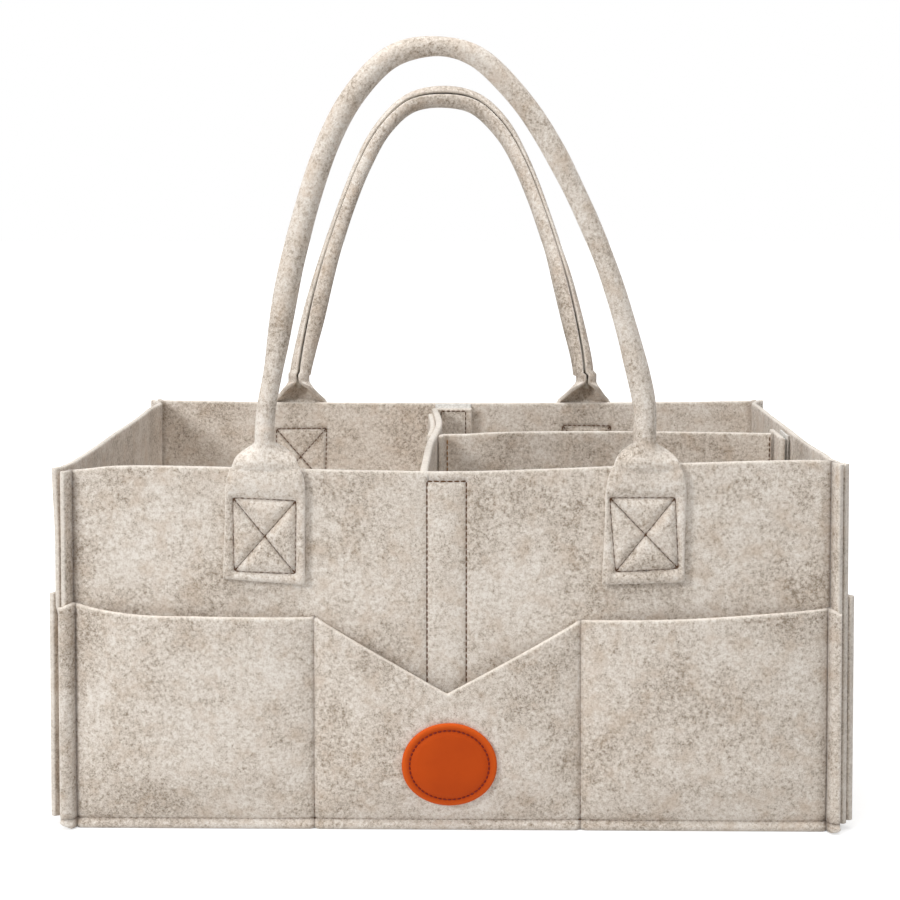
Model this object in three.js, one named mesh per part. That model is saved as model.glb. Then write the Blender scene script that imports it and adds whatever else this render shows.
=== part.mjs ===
// A felt caddy for nursery things: a rectangular body with pockets all round,
// two rolled carrying handles and a lift-out divider held by hook and loop strips.
// Lengths are millimetres, X runs along the front, Y goes back and Z is up.
// The origin is the centre of the underside, on the surface that the caddy stands on.

import * as THREE from "three";

// Body
const bodyLength = 380;
const bodyDepth = 247;
const bodyHeight = 178;
const footSpread = 3.7;
const felt = 3;
const seatGap = 0.3;
const seamInset = 8.1;
const cornerLip = 5.5;
const cornerLipAngle = Math.PI / 3;
const cornerEase = 0.6;
const endWallInset = 9.03;
const wallStep = 24;

// Base panel, turned down all round and sewn in the bottom seam
const baseSagWidth = 24;
const baseEdgeRise = 8.6;

// Pockets
const frontPocketHeight = 105.5;
const frontPocketCornerRise = 6;
const frontPocketTipFall = 3.5;
const notchHeight = 69;
const leftSeamX = -65;
const rightSeamX = 62;
const frontPocketPuff = 5.8;
const backPocketHeight = 106;
const backPocketDip = 6;
const endPocketHeight = 112;
const endPocketDip = 8;
const endPocketPuff = 5.8;
const endPocketEdgeProud = 0.5;
const puffRise = 30;
const pocketColumns = 10;

// Leather badge on the middle pocket
const badgeWidth = 45.8;
const badgeHeight = 42.1;
const badgeThickness = 2;
const badgeX = -0.4;
const badgeZ = 34.3;
const badgeSides = 40;

// Handles, each one strip of felt: flat tabs, and a rolled grip between them
const handleFelt = 2.6;
const tabWidth = 40;
const shoulderWidth = 33;
const rolledWidth = 25;
const tabReach = 55.5;
const shoulderDrop = 11;
const rolledRise = 10;
const hingeRise = 18;
const neckGap = 0.73;
const rolledAngle = 6.02;
const archHeight = 178.7;
// Where each leg's middle stands, as shares of half the spacing at these shares of the height.
const archUpShares = [-0.05, 0, 0.06, 0.155, 0.448, 0.755, 0.89, 0.977];
const frontHandle = {
  x: 1.8,
  spacing: 180.8,
  tiltDegrees: 0,
  leftShares: [1, 1, 0.987, 0.95, 0.841, 0.65, 0.496, 0.31],
  rightShares: [1, 1, 0.997, 0.958, 0.779, 0.487, 0.295, 0.1],
  topShare: -0.092,
};
const backHandle = {
  x: -8.5,
  spacing: 176.5,
  tiltDegrees: 17.5,
  leftShares: [1, 0.99, 0.968, 0.926, 0.781, 0.569, 0.422, 0.237],
  rightShares: [1, 0.99, 0.967, 0.921, 0.772, 0.554, 0.403, 0.215],
  topShare: -0.011,
};
const coreClearance = 0.35;
const coreEndLength = 9;
const arcSteps = 10;
const archSteps = 40;
const fineArchSteps = 320;
const coreSides = 8;

// Divider insert
const stripWidth = 22;
const stripThickness = 1.2;
const stripX = -1.8;
const stripBottom = 12;
const dividerDrop = 1.5;
const dividerFlange = 23;
const dividerX = -13.2;
const dividerBow = 5.2;
const bowRearShare = 0.38;
const crossSteps = 16;
const junctionY = -4;
const lipLength = 8;
const lipLean = 0.75;
const longBow = 4;
const layerLength = 92;
const layerSteps = 8;
const rearLayerGap = 0.9;
const endFlangeWidth = 33;
const endFlangeY = 1;

// A full turn, and the small angle at which a strip of felt counts as flat
const fullTurn = 2 * Math.PI;
const flatAngle = 0.002;

const feltColour = 0xcdc2b4;
const leatherColour = 0xbf5016;
const tapeColour = 0xe4e1da;
const coreColour = 0xe9e6df;
const feltRoughness = 0.95;
const leatherRoughness = 0.45;
const coreRoughness = 0.8;

const halfLength = bodyLength / 2;
const halfDepth = bodyDepth / 2;
const panelY = halfDepth - felt / 2;
const grooveX = halfLength - seamInset;
const layer = felt + seatGap;
const dividerTop = bodyHeight - dividerDrop;

const caddy = new THREE.Group();

function material(colour, roughness) {
  return new THREE.MeshStandardMaterial({ color: colour, roughness, metalness: 0 });
}

function addPiece(parent, name, geometry, colour = feltColour, roughness = feltRoughness) {
  const mesh = new THREE.Mesh(geometry, material(colour, roughness));
  mesh.name = name;
  parent.add(mesh);
  return mesh;
}

function smooth(share) {
  return THREE.MathUtils.smoothstep(share, 0, 1);
}

// Closed bodies from rows of points

function signedVolume(positions, indices) {
  const a = new THREE.Vector3();
  const b = new THREE.Vector3();
  const c = new THREE.Vector3();
  let volume = 0;
  for (let i = 0; i < indices.length; i += 3) {
    a.fromArray(positions, 3 * indices[i]);
    b.fromArray(positions, 3 * indices[i + 1]);
    c.fromArray(positions, 3 * indices[i + 2]);
    volume += a.dot(b.cross(c)) / 6;
  }
  return volume;
}

function bodyFrom(points, indices) {
  const positions = points.flatMap((point) => [point.x, point.y, point.z]);
  if (signedVolume(positions, indices) < 0) {
    indices.reverse();
  }
  const geometry = new THREE.BufferGeometry();
  geometry.setAttribute("position", new THREE.Float32BufferAttribute(positions, 3));
  geometry.setIndex(indices);
  geometry.computeVertexNormals();
  return geometry;
}

function quad(indices, a, b, c, d) {
  indices.push(a, b, c, a, c, d);
}

// A sheet with two faces, each a grid of points, closed round its four edges.
function sheetBody(outer, inner) {
  const columns = outer.length;
  const rows = outer[0].length;
  const points = [...outer.flat(), ...inner.flat()];
  const at = (side, i, j) => (side * columns + i) * rows + j;
  const indices = [];
  for (let i = 0; i + 1 < columns; i += 1) {
    for (let j = 0; j + 1 < rows; j += 1) {
      quad(indices, at(0, i, j), at(0, i + 1, j), at(0, i + 1, j + 1), at(0, i, j + 1));
      quad(indices, at(1, i, j), at(1, i, j + 1), at(1, i + 1, j + 1), at(1, i + 1, j));
    }
    quad(indices, at(0, i, 0), at(1, i, 0), at(1, i + 1, 0), at(0, i + 1, 0));
    const top = rows - 1;
    quad(indices, at(0, i, top), at(0, i + 1, top), at(1, i + 1, top), at(1, i, top));
  }
  for (let j = 0; j + 1 < rows; j += 1) {
    quad(indices, at(0, 0, j), at(0, 0, j + 1), at(1, 0, j + 1), at(1, 0, j));
    const last = columns - 1;
    quad(indices, at(0, last, j), at(1, last, j), at(1, last, j + 1), at(0, last, j + 1));
  }
  return bodyFrom(points, indices);
}

// A loft through closed rings of equal count, its two ends filled as fans
// round their middles, or as strips across where the ring is a folded section.
function loftBody(rings, foldedEnds = false) {
  const count = rings[0].length;
  const points = rings.flat();
  const indices = [];
  for (let k = 0; k + 1 < rings.length; k += 1) {
    for (let i = 0; i < count; i += 1) {
      const next = (i + 1) % count;
      quad(indices, k * count + i, k * count + next, (k + 1) * count + next, (k + 1) * count + i);
    }
  }
  const last = (rings.length - 1) * count;
  if (foldedEnds) {
    for (let i = 0; i + 1 < count / 2; i += 1) {
      const mate = count - 1 - i;
      quad(indices, i, mate, mate - 1, i + 1);
      quad(indices, last + i, last + i + 1, last + mate - 1, last + mate);
    }
    return bodyFrom(points, indices);
  }
  for (const [start, turn] of [[0, 1], [last, -1]]) {
    const middle = new THREE.Vector3();
    points.slice(start, start + count).forEach((point) => middle.addScaledVector(point, 1 / count));
    points.push(middle);
    for (let i = 0; i < count; i += 1) {
      const next = (i + 1) % count;
      const edge = turn > 0 ? [next, i] : [i, next];
      indices.push(start + edge[0], start + edge[1], points.length - 1);
    }
  }
  return bodyFrom(points, indices);
}

// Plans: lines seen from above, with the outside of the caddy on their right

const smallestMitre = 0.3;

function offsetPlan(plan, distance) {
  return plan.map((point, i) => {
    const before = plan[Math.max(i - 1, 0)];
    const after = plan[Math.min(i + 1, plan.length - 1)];
    const arriving = point.clone().sub(before);
    const leaving = after.clone().sub(point);
    const first = (i === 0 ? leaving : arriving).clone().normalize();
    const second = (i === plan.length - 1 ? arriving : leaving).clone().normalize();
    const normal = new THREE.Vector2(first.y + second.y, -first.x - second.x).normalize();
    const mitre = Math.max(normal.dot(new THREE.Vector2(first.y, -first.x)), smallestMitre);
    return point.clone().addScaledVector(normal, distance / mitre);
  });
}

function divided(plan, step) {
  const points = [plan[0]];
  for (let i = 0; i + 1 < plan.length; i += 1) {
    const count = Math.max(1, Math.round(plan[i].distanceTo(plan[i + 1]) / step));
    for (let k = 1; k <= count; k += 1) {
      points.push(plan[i].clone().lerp(plan[i + 1], k / count));
    }
  }
  return points;
}

function turnedPlan(plan) {
  return plan.map((point) => new THREE.Vector2(-point.x, -point.y));
}

function leanOut(point) {
  const share = footSpread / halfLength;
  point.x *= 1 + share * Math.max(0, 1 - point.z / bodyHeight);
  return point;
}

const wallRowShares = [0, 0.06, 0.2, 0.4, 0.6, 0.8, 1];
const pocketRowShares = [0, 0.06, 0.13, 0.22, 0.34, 0.5, 0.67, 0.84, 1];
const still = () => new THREE.Vector2(0, 0);

// A sheet of felt that stands on its lower edge and follows a plan.
function standingSheet(plan, options) {
  const { thickness = felt, bottomAt = () => 0, topAt, rowShares = wallRowShares } = options;
  const { pushAt = still, place = leanOut } = options;
  const faces = [thickness / 2, -thickness / 2].map((distance) => {
    const edge = offsetPlan(plan, distance);
    return plan.map((point, i) => rowShares.map((share) => {
      const z = THREE.MathUtils.lerp(bottomAt(point), topAt(point), share);
      const push = pushAt(point, z);
      return place(new THREE.Vector3(edge[i].x + push.x, edge[i].y + push.y, z));
    }));
  });
  return sheetBody(faces[0], faces[1]);
}

// Outer panels

// At each corner the sheets' side edges turn outwards together and are sewn as a lip.
const lipX = grooveX + cornerLip * Math.cos(cornerLipAngle);
const lipY = panelY + cornerLip * Math.sin(cornerLipAngle);
const frontPlan = [
  new THREE.Vector2(-lipX, -lipY),
  new THREE.Vector2(-grooveX, -panelY),
  new THREE.Vector2(grooveX, -panelY),
  new THREE.Vector2(lipX, -lipY),
];
const [, , cornerTurn, cornerTip] = offsetPlan(frontPlan, -layer - cornerEase);
const endWallX = halfLength - endWallInset;
const endTurnY = cornerTurn.y + (cornerTurn.x - endWallX) * Math.tan(cornerLipAngle);
const endPlan = [
  new THREE.Vector2(cornerTip.x, cornerTip.y),
  new THREE.Vector2(endWallX, endTurnY),
  new THREE.Vector2(endWallX, -endTurnY),
  new THREE.Vector2(cornerTip.x, -cornerTip.y),
];
const rim = () => bodyHeight;

function addPanels(parent) {
  const front = divided(frontPlan, wallStep);
  const end = divided(endPlan, wallStep);
  addPiece(parent, "front_panel", standingSheet(front, { topAt: rim }));
  addPiece(parent, "back_panel", standingSheet(turnedPlan(front), { topAt: rim }));
  addPiece(parent, "right_end_panel", standingSheet(end, { topAt: rim }));
  addPiece(parent, "left_end_panel", standingSheet(turnedPlan(end), { topAt: rim }));
}

// Base: rings that follow the walls, from the middle out over the top and down
// the turned-down edge, and back in under the floor. Each pair is a share of the
// sag width in from the edge and a share of the edge's rise.
const baseTopShares = [
  [1, 0.35], [0.85, 0.35], [0.6, 0.43], [0.33, 0.74], [0.12, 1], [0.04, 0.95], [0, 0.77], [0, 0],
];
const baseUnderShares = [
  [0.125, 0], [0.125, 0.42], [0.17, 0.6], [0.27, 0.42], [0.57, 0.07], [0.85, 0], [1, 0],
];
const baseHalfX = endWallX - felt / 2 - seatGap;
const baseHalfY = panelY - felt / 2 - seatGap;

function baseRing(inset, z) {
  const x = baseHalfX - inset;
  const y = baseHalfY - inset;
  const cut = felt;
  const corners = [
    [x - cut, -y], [x, -y + cut], [x, y - cut], [x - cut, y],
    [-x + cut, y], [-x, y - cut], [-x, -y + cut], [-x + cut, -y],
  ];
  return corners.map(([cornerX, cornerY]) => leanOut(new THREE.Vector3(cornerX, cornerY, z)));
}

function baseGeometry() {
  const rings = [...baseTopShares, ...baseUnderShares].map(([across, up]) => (
    baseRing(across * baseSagWidth, up * baseEdgeRise)
  ));
  return loftBody(rings);
}

// How high the base's upper face lies this far inside a point seen from above.
function baseTopAt(point, reach) {
  const inset = Math.min(baseHalfX - Math.abs(point.x), baseHalfY - Math.abs(point.y)) - reach;
  const crest = baseTopShares.findIndex(([, up]) => up === 1);
  const share = THREE.MathUtils.clamp(inset / baseSagWidth, baseTopShares[crest][0], 1);
  const next = Math.min(crest, baseTopShares.findIndex(([across]) => across < share));
  const [[fromAcross, fromUp], [toAcross, toUp]] = baseTopShares.slice(next - 1, next + 1);
  const part = (share - fromAcross) / (toAcross - fromAcross);
  return baseEdgeRise * THREE.MathUtils.lerp(fromUp, toUp, part);
}

// Pockets

const [pocketLeftTip, pocketLeftTurn, pocketRightTurn, pocketRightTip] = offsetPlan(frontPlan, layer);
const pocketFaceY = pocketLeftTurn.y;
const pocketSeams = [pocketLeftTurn.x, leftSeamX, rightSeamX, pocketRightTurn.x];
const pocketCount = pocketSeams.length - 1;

function pocketColumnsBetween(from, to) {
  const columns = [];
  for (let i = 0; i < pocketColumns; i += 1) {
    columns.push(from + ((to - from) * (1 - Math.cos((Math.PI * i) / pocketColumns))) / 2);
  }
  return columns;
}

function threePocketPlan() {
  const columns = [];
  for (let i = 0; i < pocketCount; i += 1) {
    columns.push(...pocketColumnsBetween(pocketSeams[i], pocketSeams[i + 1]));
  }
  columns.push(pocketRightTurn.x);
  const face = columns.map((x) => new THREE.Vector2(x, pocketFaceY));
  return [pocketLeftTip, ...face, pocketRightTip];
}

// How far a sewn-down pocket stands away from its wall at a share across and a height.
const puffFullness = 3;
const pocketRimCurve = 3;

function puffAt(across, z, puff) {
  const level = Math.max(0, 1 - Math.abs(2 * across - 1) ** puffFullness);
  return puff * level * smooth(z / puffRise);
}

function frontPuff(x, z) {
  for (let i = 0; i < pocketCount; i += 1) {
    const across = (x - pocketSeams[i]) / (pocketSeams[i + 1] - pocketSeams[i]);
    if (across >= 0 && across <= 1) {
      return puffAt(across, z, frontPocketPuff);
    }
  }
  return 0;
}

function frontPocketTop(point) {
  const middle = (leftSeamX + rightSeamX) / 2;
  if (point.x > leftSeamX && point.x < rightSeamX) {
    const share = Math.abs(point.x - middle) / ((rightSeamX - leftSeamX) / 2);
    return THREE.MathUtils.lerp(notchHeight, frontPocketHeight, share);
  }
  const seam = point.x < 0 ? leftSeamX : rightSeamX;
  const edge = point.x < 0 ? pocketLeftTurn.x : pocketRightTurn.x;
  const share = (point.x - seam) / (edge - seam);
  if (share > 1) {
    return frontPocketHeight + frontPocketCornerRise - frontPocketTipFall;
  }
  return frontPocketHeight + frontPocketCornerRise * share ** pocketRimCurve;
}

function backPocketTop(point) {
  const share = Math.min(1, Math.abs(point.x) / grooveX);
  return backPocketHeight + backPocketDip * share ** 2;
}

// The right pocket's plan, its top edge and its bulge.
function endPocketShape() {
  const [tip, start, end] = offsetPlan(endPlan, layer);
  tip.addScaledVector(tip.clone().sub(start).normalize(), endPocketEdgeProud);
  const columns = [...pocketColumnsBetween(start.y, end.y), end.y];
  const face = columns.map((y) => new THREE.Vector2(start.x, y));
  const topAt = (point) => {
    const share = Math.min(1, Math.abs(point.y) / end.y);
    return endPocketHeight + endPocketDip * (share ** 2 - 1);
  };
  const pushAt = (point, z) => {
    const across = (point.y - start.y) / (end.y - start.y);
    const inside = point.x === start.x;
    return new THREE.Vector2(inside ? puffAt(across, z, endPocketPuff) : 0, 0);
  };
  return { plan: [tip, ...face, new THREE.Vector2(tip.x, -tip.y)], topAt, pushAt };
}

function addPockets(parent) {
  const plan = threePocketPlan();
  const pushFront = (point, z) => new THREE.Vector2(0, -frontPuff(point.x, z));
  const options = { rowShares: pocketRowShares };
  addPiece(parent, "front_pocket_panel", standingSheet(plan, {
    ...options, topAt: frontPocketTop, pushAt: pushFront,
  }));
  const pushBack = (point, z) => new THREE.Vector2(0, frontPuff(-point.x, z));
  addPiece(parent, "back_pocket_panel", standingSheet(turnedPlan(plan), {
    ...options, topAt: backPocketTop, pushAt: pushBack,
  }));
  const { plan: endPocketPlan, topAt, pushAt } = endPocketShape();
  addPiece(parent, "right_pocket_panel", standingSheet(endPocketPlan, {
    ...options, topAt, pushAt,
  }));
  const pushLeft = (point, z) => pushAt(new THREE.Vector2(-point.x, -point.y), z).negate();
  addPiece(parent, "left_pocket_panel", standingSheet(turnedPlan(endPocketPlan), {
    ...options, topAt, pushAt: pushLeft,
  }));
}

// Badge: an oval of leather that lies against the bulge of the middle pocket.
// Each pair is a share of its size and a share of its thickness.
const badgeFrontShares = [[0.3, 0.96], [0.7, 1], [0.93, 0.97], [1, 0.6], [1, 0]];
const badgeRearShares = [[0.7, 0], [0.3, 0]];

function badgeGeometry() {
  const rings = [...badgeFrontShares, ...badgeRearShares].map(([size, depth]) => {
    const ring = [];
    for (let i = 0; i < badgeSides; i += 1) {
      const angle = (fullTurn * i) / badgeSides;
      const x = badgeX + (size * badgeWidth * Math.cos(angle)) / 2;
      const z = badgeZ + (size * badgeHeight * Math.sin(angle)) / 2;
      const face = pocketFaceY - felt / 2 - frontPuff(x, z) - seatGap;
      ring.push(new THREE.Vector3(x, face - depth * badgeThickness, z));
    }
    return ring;
  });
  return loftBody(rings);
}

// Handles. A strip of felt of some width is bent round to an angle: a small
// angle leaves it flat, and almost a full turn rolls it into a tube with a slit.
// The section lists the outer face from edge to edge and the inner face back.
function rolledSection(width, angle) {
  const radius = width / angle;
  const section = [];
  for (const [face, sign] of [[handleFelt / 2, 1], [-handleFelt / 2, -1]]) {
    for (let i = 0; i <= arcSteps; i += 1) {
      const turn = sign * angle * (i / arcSteps - 0.5);
      const reach = radius + face;
      section.push(new THREE.Vector2(reach * Math.sin(turn), radius - reach * Math.cos(turn)));
    }
  }
  return section;
}

const tabBottom = bodyHeight - tabReach;
const shoulderZ = bodyHeight - shoulderDrop;
const throatZ = bodyHeight + seatGap;
const rolledZ = bodyHeight + rolledRise;
const hingeZ = bodyHeight + hingeRise;
const rolledRadius = rolledWidth / rolledAngle;
const gripRadius = rolledRadius + handleFelt / 2;
const handleFaceY = halfDepth + seatGap + handleFelt / 2;
const hingeY = handleFaceY - rolledRadius;
const tabTop = hingeZ - gripRadius - neckGap;
const coreRadius = rolledRadius - handleFelt / 2 - coreClearance;

// The tab's stations, as heights with the strip's width and how far it is rolled.
function tabStations() {
  const stations = [
    [tabBottom, tabWidth, flatAngle],
    [shoulderZ, tabWidth, flatAngle],
    [(shoulderZ + throatZ) / 2, (tabWidth + shoulderWidth) / 2, flatAngle],
    [throatZ, shoulderWidth, flatAngle],
  ];
  for (let i = 1; i <= arcSteps; i += 1) {
    const share = i / arcSteps;
    const width = THREE.MathUtils.lerp(shoulderWidth, rolledWidth, smooth(share));
    const angle = Math.max(flatAngle, rolledAngle * smooth(share));
    stations.push([THREE.MathUtils.lerp(throatZ, rolledZ, share), width, angle]);
  }
  stations.push([tabTop, rolledWidth, rolledAngle]);
  return stations;
}

function tabGeometry(x, out) {
  const rings = tabStations().map(([z, width, angle]) => rolledSection(width, angle).map((point) => (
    new THREE.Vector3(x + point.x, out * (handleFaceY - point.y), z)
  )));
  return loftBody(rings, true);
}

function archCurve(handle) {
  const left = handle.leftShares.map((across, i) => [-across, archUpShares[i]]);
  const right = handle.rightShares.map((across, i) => [across, archUpShares[i]]).reverse();
  const points = [...left, [handle.topShare, 1], ...right].map(([across, up]) => (
    new THREE.Vector3(handle.x + (across * handle.spacing) / 2, 0, up * archHeight)
  ));
  return new THREE.CatmullRomCurve3(points, false, "centripetal");
}

// Points up one leg, over and down the other, from this far above the hinge.
function archPoints(handle, start) {
  const fine = archCurve(handle).getSpacedPoints(fineArchSteps);
  const kept = fine.filter((point) => point.z > start);
  const points = [];
  for (let i = 0; i <= archSteps; i += 1) {
    points.push(kept[Math.round((i * (kept.length - 1)) / archSteps)]);
  }
  return points;
}

function ringsAlong(points, section, out, scaleShares) {
  return points.map((point, i) => {
    const before = points[Math.max(i - 1, 0)];
    const after = points[Math.min(i + 1, points.length - 1)];
    const along = after.clone().sub(before).normalize();
    const across = new THREE.Vector3(along.z, 0, -along.x);
    const scale = scaleShares[i];
    return section.map((corner) => {
      const place = point.clone().addScaledVector(across, corner.x * scale);
      place.y = out * corner.y * scale;
      return place;
    });
  });
}

// Each end of the grip rounds in below the hinge, so that it can turn in its neck.
const endShares = [0.985, 0.94, 0.82, 0.6, 0.34];

function gripGeometry(handle, out) {
  const section = rolledSection(rolledWidth, rolledAngle)
    .map((point) => new THREE.Vector2(point.x, rolledRadius - point.y));
  const arch = archPoints(handle, 0);
  const tip = (base, share) => new THREE.Vector3(base.x, 0, -gripRadius * share);
  const sizes = endShares.map((share) => Math.sqrt(1 - share * share));
  const first = endShares.map((share) => tip(arch[0], share));
  const last = [...endShares].reverse().map((share) => tip(arch[arch.length - 1], share));
  const points = [...first, ...arch, ...last];
  const scales = [...sizes, ...arch.map(() => 1), ...[...sizes].reverse()];
  return loftBody(ringsAlong(points, section, out, scales), true);
}

function coreSection() {
  const section = [];
  for (let i = 0; i < coreSides; i += 1) {
    const angle = (fullTurn * i) / coreSides;
    section.push(new THREE.Vector2(coreRadius * Math.cos(angle), coreRadius * Math.sin(angle)));
  }
  return section;
}

function coreGeometry(handle, out) {
  const points = archPoints(handle, seatGap);
  return loftBody(ringsAlong(points, coreSection(), out, points.map(() => 1)));
}

// The end of the core that stays in the throat below the hinge.
function coreEndGeometry(x, out) {
  const top = hingeZ - gripRadius - seatGap;
  const rings = [top - coreEndLength, top].map((z) => coreSection().map((corner) => (
    new THREE.Vector3(x + corner.x, out * (hingeY + corner.y), z)
  )));
  return loftBody(rings);
}

function addHandle(parent, side, handle, out) {
  for (const [hand, sign] of [["left", -1], ["right", 1]]) {
    const x = handle.x + (sign * handle.spacing) / 2;
    addPiece(parent, `${side}_${hand}_handle_tab`, tabGeometry(x, out));
    addPiece(parent, `${side}_${hand}_core_end`, coreEndGeometry(x, out), coreColour, coreRoughness);
  }
  const swing = new THREE.Group();
  swing.position.set(0, out * hingeY, hingeZ);
  swing.rotation.x = -out * THREE.MathUtils.degToRad(handle.tiltDegrees);
  addPiece(swing, `${side}_handle_grip`, gripGeometry(handle, out));
  addPiece(swing, `${side}_handle_core`, coreGeometry(handle, out), coreColour, coreRoughness);
  parent.add(swing);
}

// Divider insert. Its strips lie against those on the walls, each a named gap apart.

const wallFaceY = panelY - felt / 2;
const wallFaceX = endWallX - felt / 2;
const loopStripY = wallFaceY - seatGap - stripThickness / 2;
const hookStripY = loopStripY - seatGap - stripThickness;
const flangeY = hookStripY - seatGap - (stripThickness + felt) / 2;
const loopStripX = wallFaceX - seatGap - stripThickness / 2;
const hookStripX = loopStripX - seatGap - stripThickness;
const flangeX = hookStripX - seatGap - (stripThickness + felt) / 2;
const dividerClear = (point) => baseTopAt(point, felt) + seatGap;
const keep = (point) => point;

// The cross divider bows to the right, most of all behind its middle.
function bowAt(y) {
  const share = y / flangeY;
  const level = 1 - bowRearShare + bowRearShare * Math.sin(share * Math.PI);
  return dividerX + dividerBow * level * Math.cos((share * Math.PI) / 2);
}

function crossPlan() {
  const points = [new THREE.Vector2(dividerX + dividerFlange, flangeY)];
  for (let i = 0; i <= crossSteps; i += 1) {
    const y = flangeY * (1 - (2 * i) / crossSteps);
    points.push(new THREE.Vector2(bowAt(y), y));
  }
  points.push(new THREE.Vector2(dividerX + dividerFlange, -flangeY));
  return points;
}

// A short lip, then the wall, which bows back a little on its way to the end flange.
function longPlan() {
  const startX = bowAt(junctionY) + layer;
  const corner = new THREE.Vector2(startX + lipLean, junctionY);
  const end = new THREE.Vector2(flangeX - layer, endFlangeY);
  const wall = divided([corner, end], wallStep);
  wall.forEach((point) => {
    const share = (point.x - corner.x) / (end.x - corner.x);
    point.y += longBow * Math.sin(share * Math.PI);
  });
  return [new THREE.Vector2(startX, junctionY - lipLength), ...wall];
}

function layerPlan() {
  const points = [];
  for (let i = 0; i <= layerSteps; i += 1) {
    const y = junctionY + layer + (layerLength * i) / layerSteps;
    const open = rearLayerGap * Math.sin((Math.PI * i) / layerSteps);
    points.push(new THREE.Vector2(bowAt(y) - layer - open, y));
  }
  return points;
}

function stripGeometry(y, top) {
  const edges = [stripX - stripWidth / 2, stripX + stripWidth / 2];
  return standingSheet(edges.map((x) => new THREE.Vector2(x, y)), {
    thickness: stripThickness, bottomAt: () => stripBottom, topAt: () => top, place: keep,
  });
}

function endStripGeometry(x, top, place) {
  const edges = [endFlangeY - stripWidth / 2, endFlangeY + stripWidth / 2];
  return standingSheet(edges.map((y) => new THREE.Vector2(x, y)), {
    thickness: stripThickness, bottomAt: () => stripBottom, topAt: () => top, place,
  });
}

function addLoopStrips(parent) {
  const top = dividerTop + seatGap;
  addPiece(parent, "front_loop_strip", stripGeometry(-loopStripY, top), tapeColour);
  addPiece(parent, "back_loop_strip", stripGeometry(loopStripY, top), tapeColour);
  addPiece(parent, "right_loop_strip", endStripGeometry(loopStripX, top, leanOut), tapeColour);
}

function addDivider(parent) {
  const top = () => dividerTop;
  const standing = { bottomAt: dividerClear, topAt: top, place: keep };
  addPiece(parent, "cross_divider", standingSheet(crossPlan(), standing));
  addPiece(parent, "long_divider", standingSheet(longPlan(), standing));
  addPiece(parent, "rear_divider_layer", standingSheet(layerPlan(), standing));
  const flangeEdges = [endFlangeY - endFlangeWidth / 2, endFlangeY + endFlangeWidth / 2];
  const flangePlan = divided(flangeEdges.map((y) => new THREE.Vector2(flangeX, y)), endFlangeWidth / 2);
  addPiece(parent, "right_flange_panel", standingSheet(flangePlan, standing));
  const stripTop = dividerTop - felt / 2;
  addPiece(parent, "front_hook_strip", stripGeometry(-hookStripY, stripTop), tapeColour);
  addPiece(parent, "back_hook_strip", stripGeometry(hookStripY, stripTop), tapeColour);
  addPiece(parent, "right_hook_strip", endStripGeometry(hookStripX, stripTop, keep), tapeColour);
}

addPanels(caddy);
addPiece(caddy, "base_panel", baseGeometry());
addPockets(caddy);
addPiece(caddy, "badge", badgeGeometry(), leatherColour, leatherRoughness);
addLoopStrips(caddy);
addHandle(caddy, "front", frontHandle, -1);
addHandle(caddy, "back", backHandle, 1);
addDivider(caddy);

export default caddy;
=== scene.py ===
"""A felt nursery caddy with pockets, rolled handles and a lift-out divider.

Sizes are millimetres in the caddy's own frame: X along the front, Y to the back, Z up.
"""

import logging
import math
from bisect import bisect_right
from dataclasses import dataclass, field
from enum import Enum
from typing import Callable, Optional, Sequence

import bmesh
import bpy
from mathutils import Matrix, Vector, noise


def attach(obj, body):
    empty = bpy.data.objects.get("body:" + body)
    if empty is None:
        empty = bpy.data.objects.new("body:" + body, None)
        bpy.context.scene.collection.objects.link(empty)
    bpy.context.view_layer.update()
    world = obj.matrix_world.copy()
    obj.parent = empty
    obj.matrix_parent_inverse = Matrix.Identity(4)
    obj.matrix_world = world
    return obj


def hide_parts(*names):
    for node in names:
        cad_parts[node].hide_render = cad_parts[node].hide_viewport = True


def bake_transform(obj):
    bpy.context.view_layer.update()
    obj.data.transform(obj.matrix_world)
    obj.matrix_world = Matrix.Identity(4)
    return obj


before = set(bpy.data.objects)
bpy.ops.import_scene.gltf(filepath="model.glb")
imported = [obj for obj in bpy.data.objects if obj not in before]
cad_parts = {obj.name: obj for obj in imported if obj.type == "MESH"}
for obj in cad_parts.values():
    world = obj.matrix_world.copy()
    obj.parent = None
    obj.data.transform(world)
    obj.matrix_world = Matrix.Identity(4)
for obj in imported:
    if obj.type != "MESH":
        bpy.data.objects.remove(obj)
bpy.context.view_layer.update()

log = logging.getLogger("caddy")
MM = 0.001
Material, Object, Socket = bpy.types.Material, bpy.types.Object, bpy.types.NodeSocket
Mesh = bmesh.types.BMesh


class Body(Enum):
    """The frame's bodies that pieces ride on."""

    CADDY = "caddy_body"
    FRONT_HANDLE = "front_handle"
    BACK_HANDLE = "back_handle"
    INSERT = "divider_insert"


class Slot(Enum):
    """The record's material slots."""

    FELT = "felt"
    LEATHER = "leather"
    TAPE = "tape"
    CORE = "core"


# Small sums


def smooth(share: float) -> float:
    """Eases a share from 0 to 1."""
    held = min(max(share, 0.0), 1.0)
    return held * held * (3 - 2 * held)


def eased(value: float, span: tuple[float, float]) -> float:
    """Eases from 0 to 1 over a span, which is given by its start and its length."""
    return smooth((value - span[0]) / span[1])


def lerp(start: float, end: float, share: float) -> float:
    """A value part of the way from start to end."""
    return start + (end - start) * share


def bell(distance: float, width: float) -> float:
    """A soft bump, 1 at no distance and gone a few widths away."""
    return math.exp(-((distance / width) ** 2))


@dataclass(frozen=True)
class Dent:
    """The mark that a seam leaves in felt: how deep it is and how wide, in mm."""

    depth: float
    width: float

    def at(self, distance: float) -> float:
        """How deep it is at a distance from the seam."""
        return self.depth * bell(distance, self.width)


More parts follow.
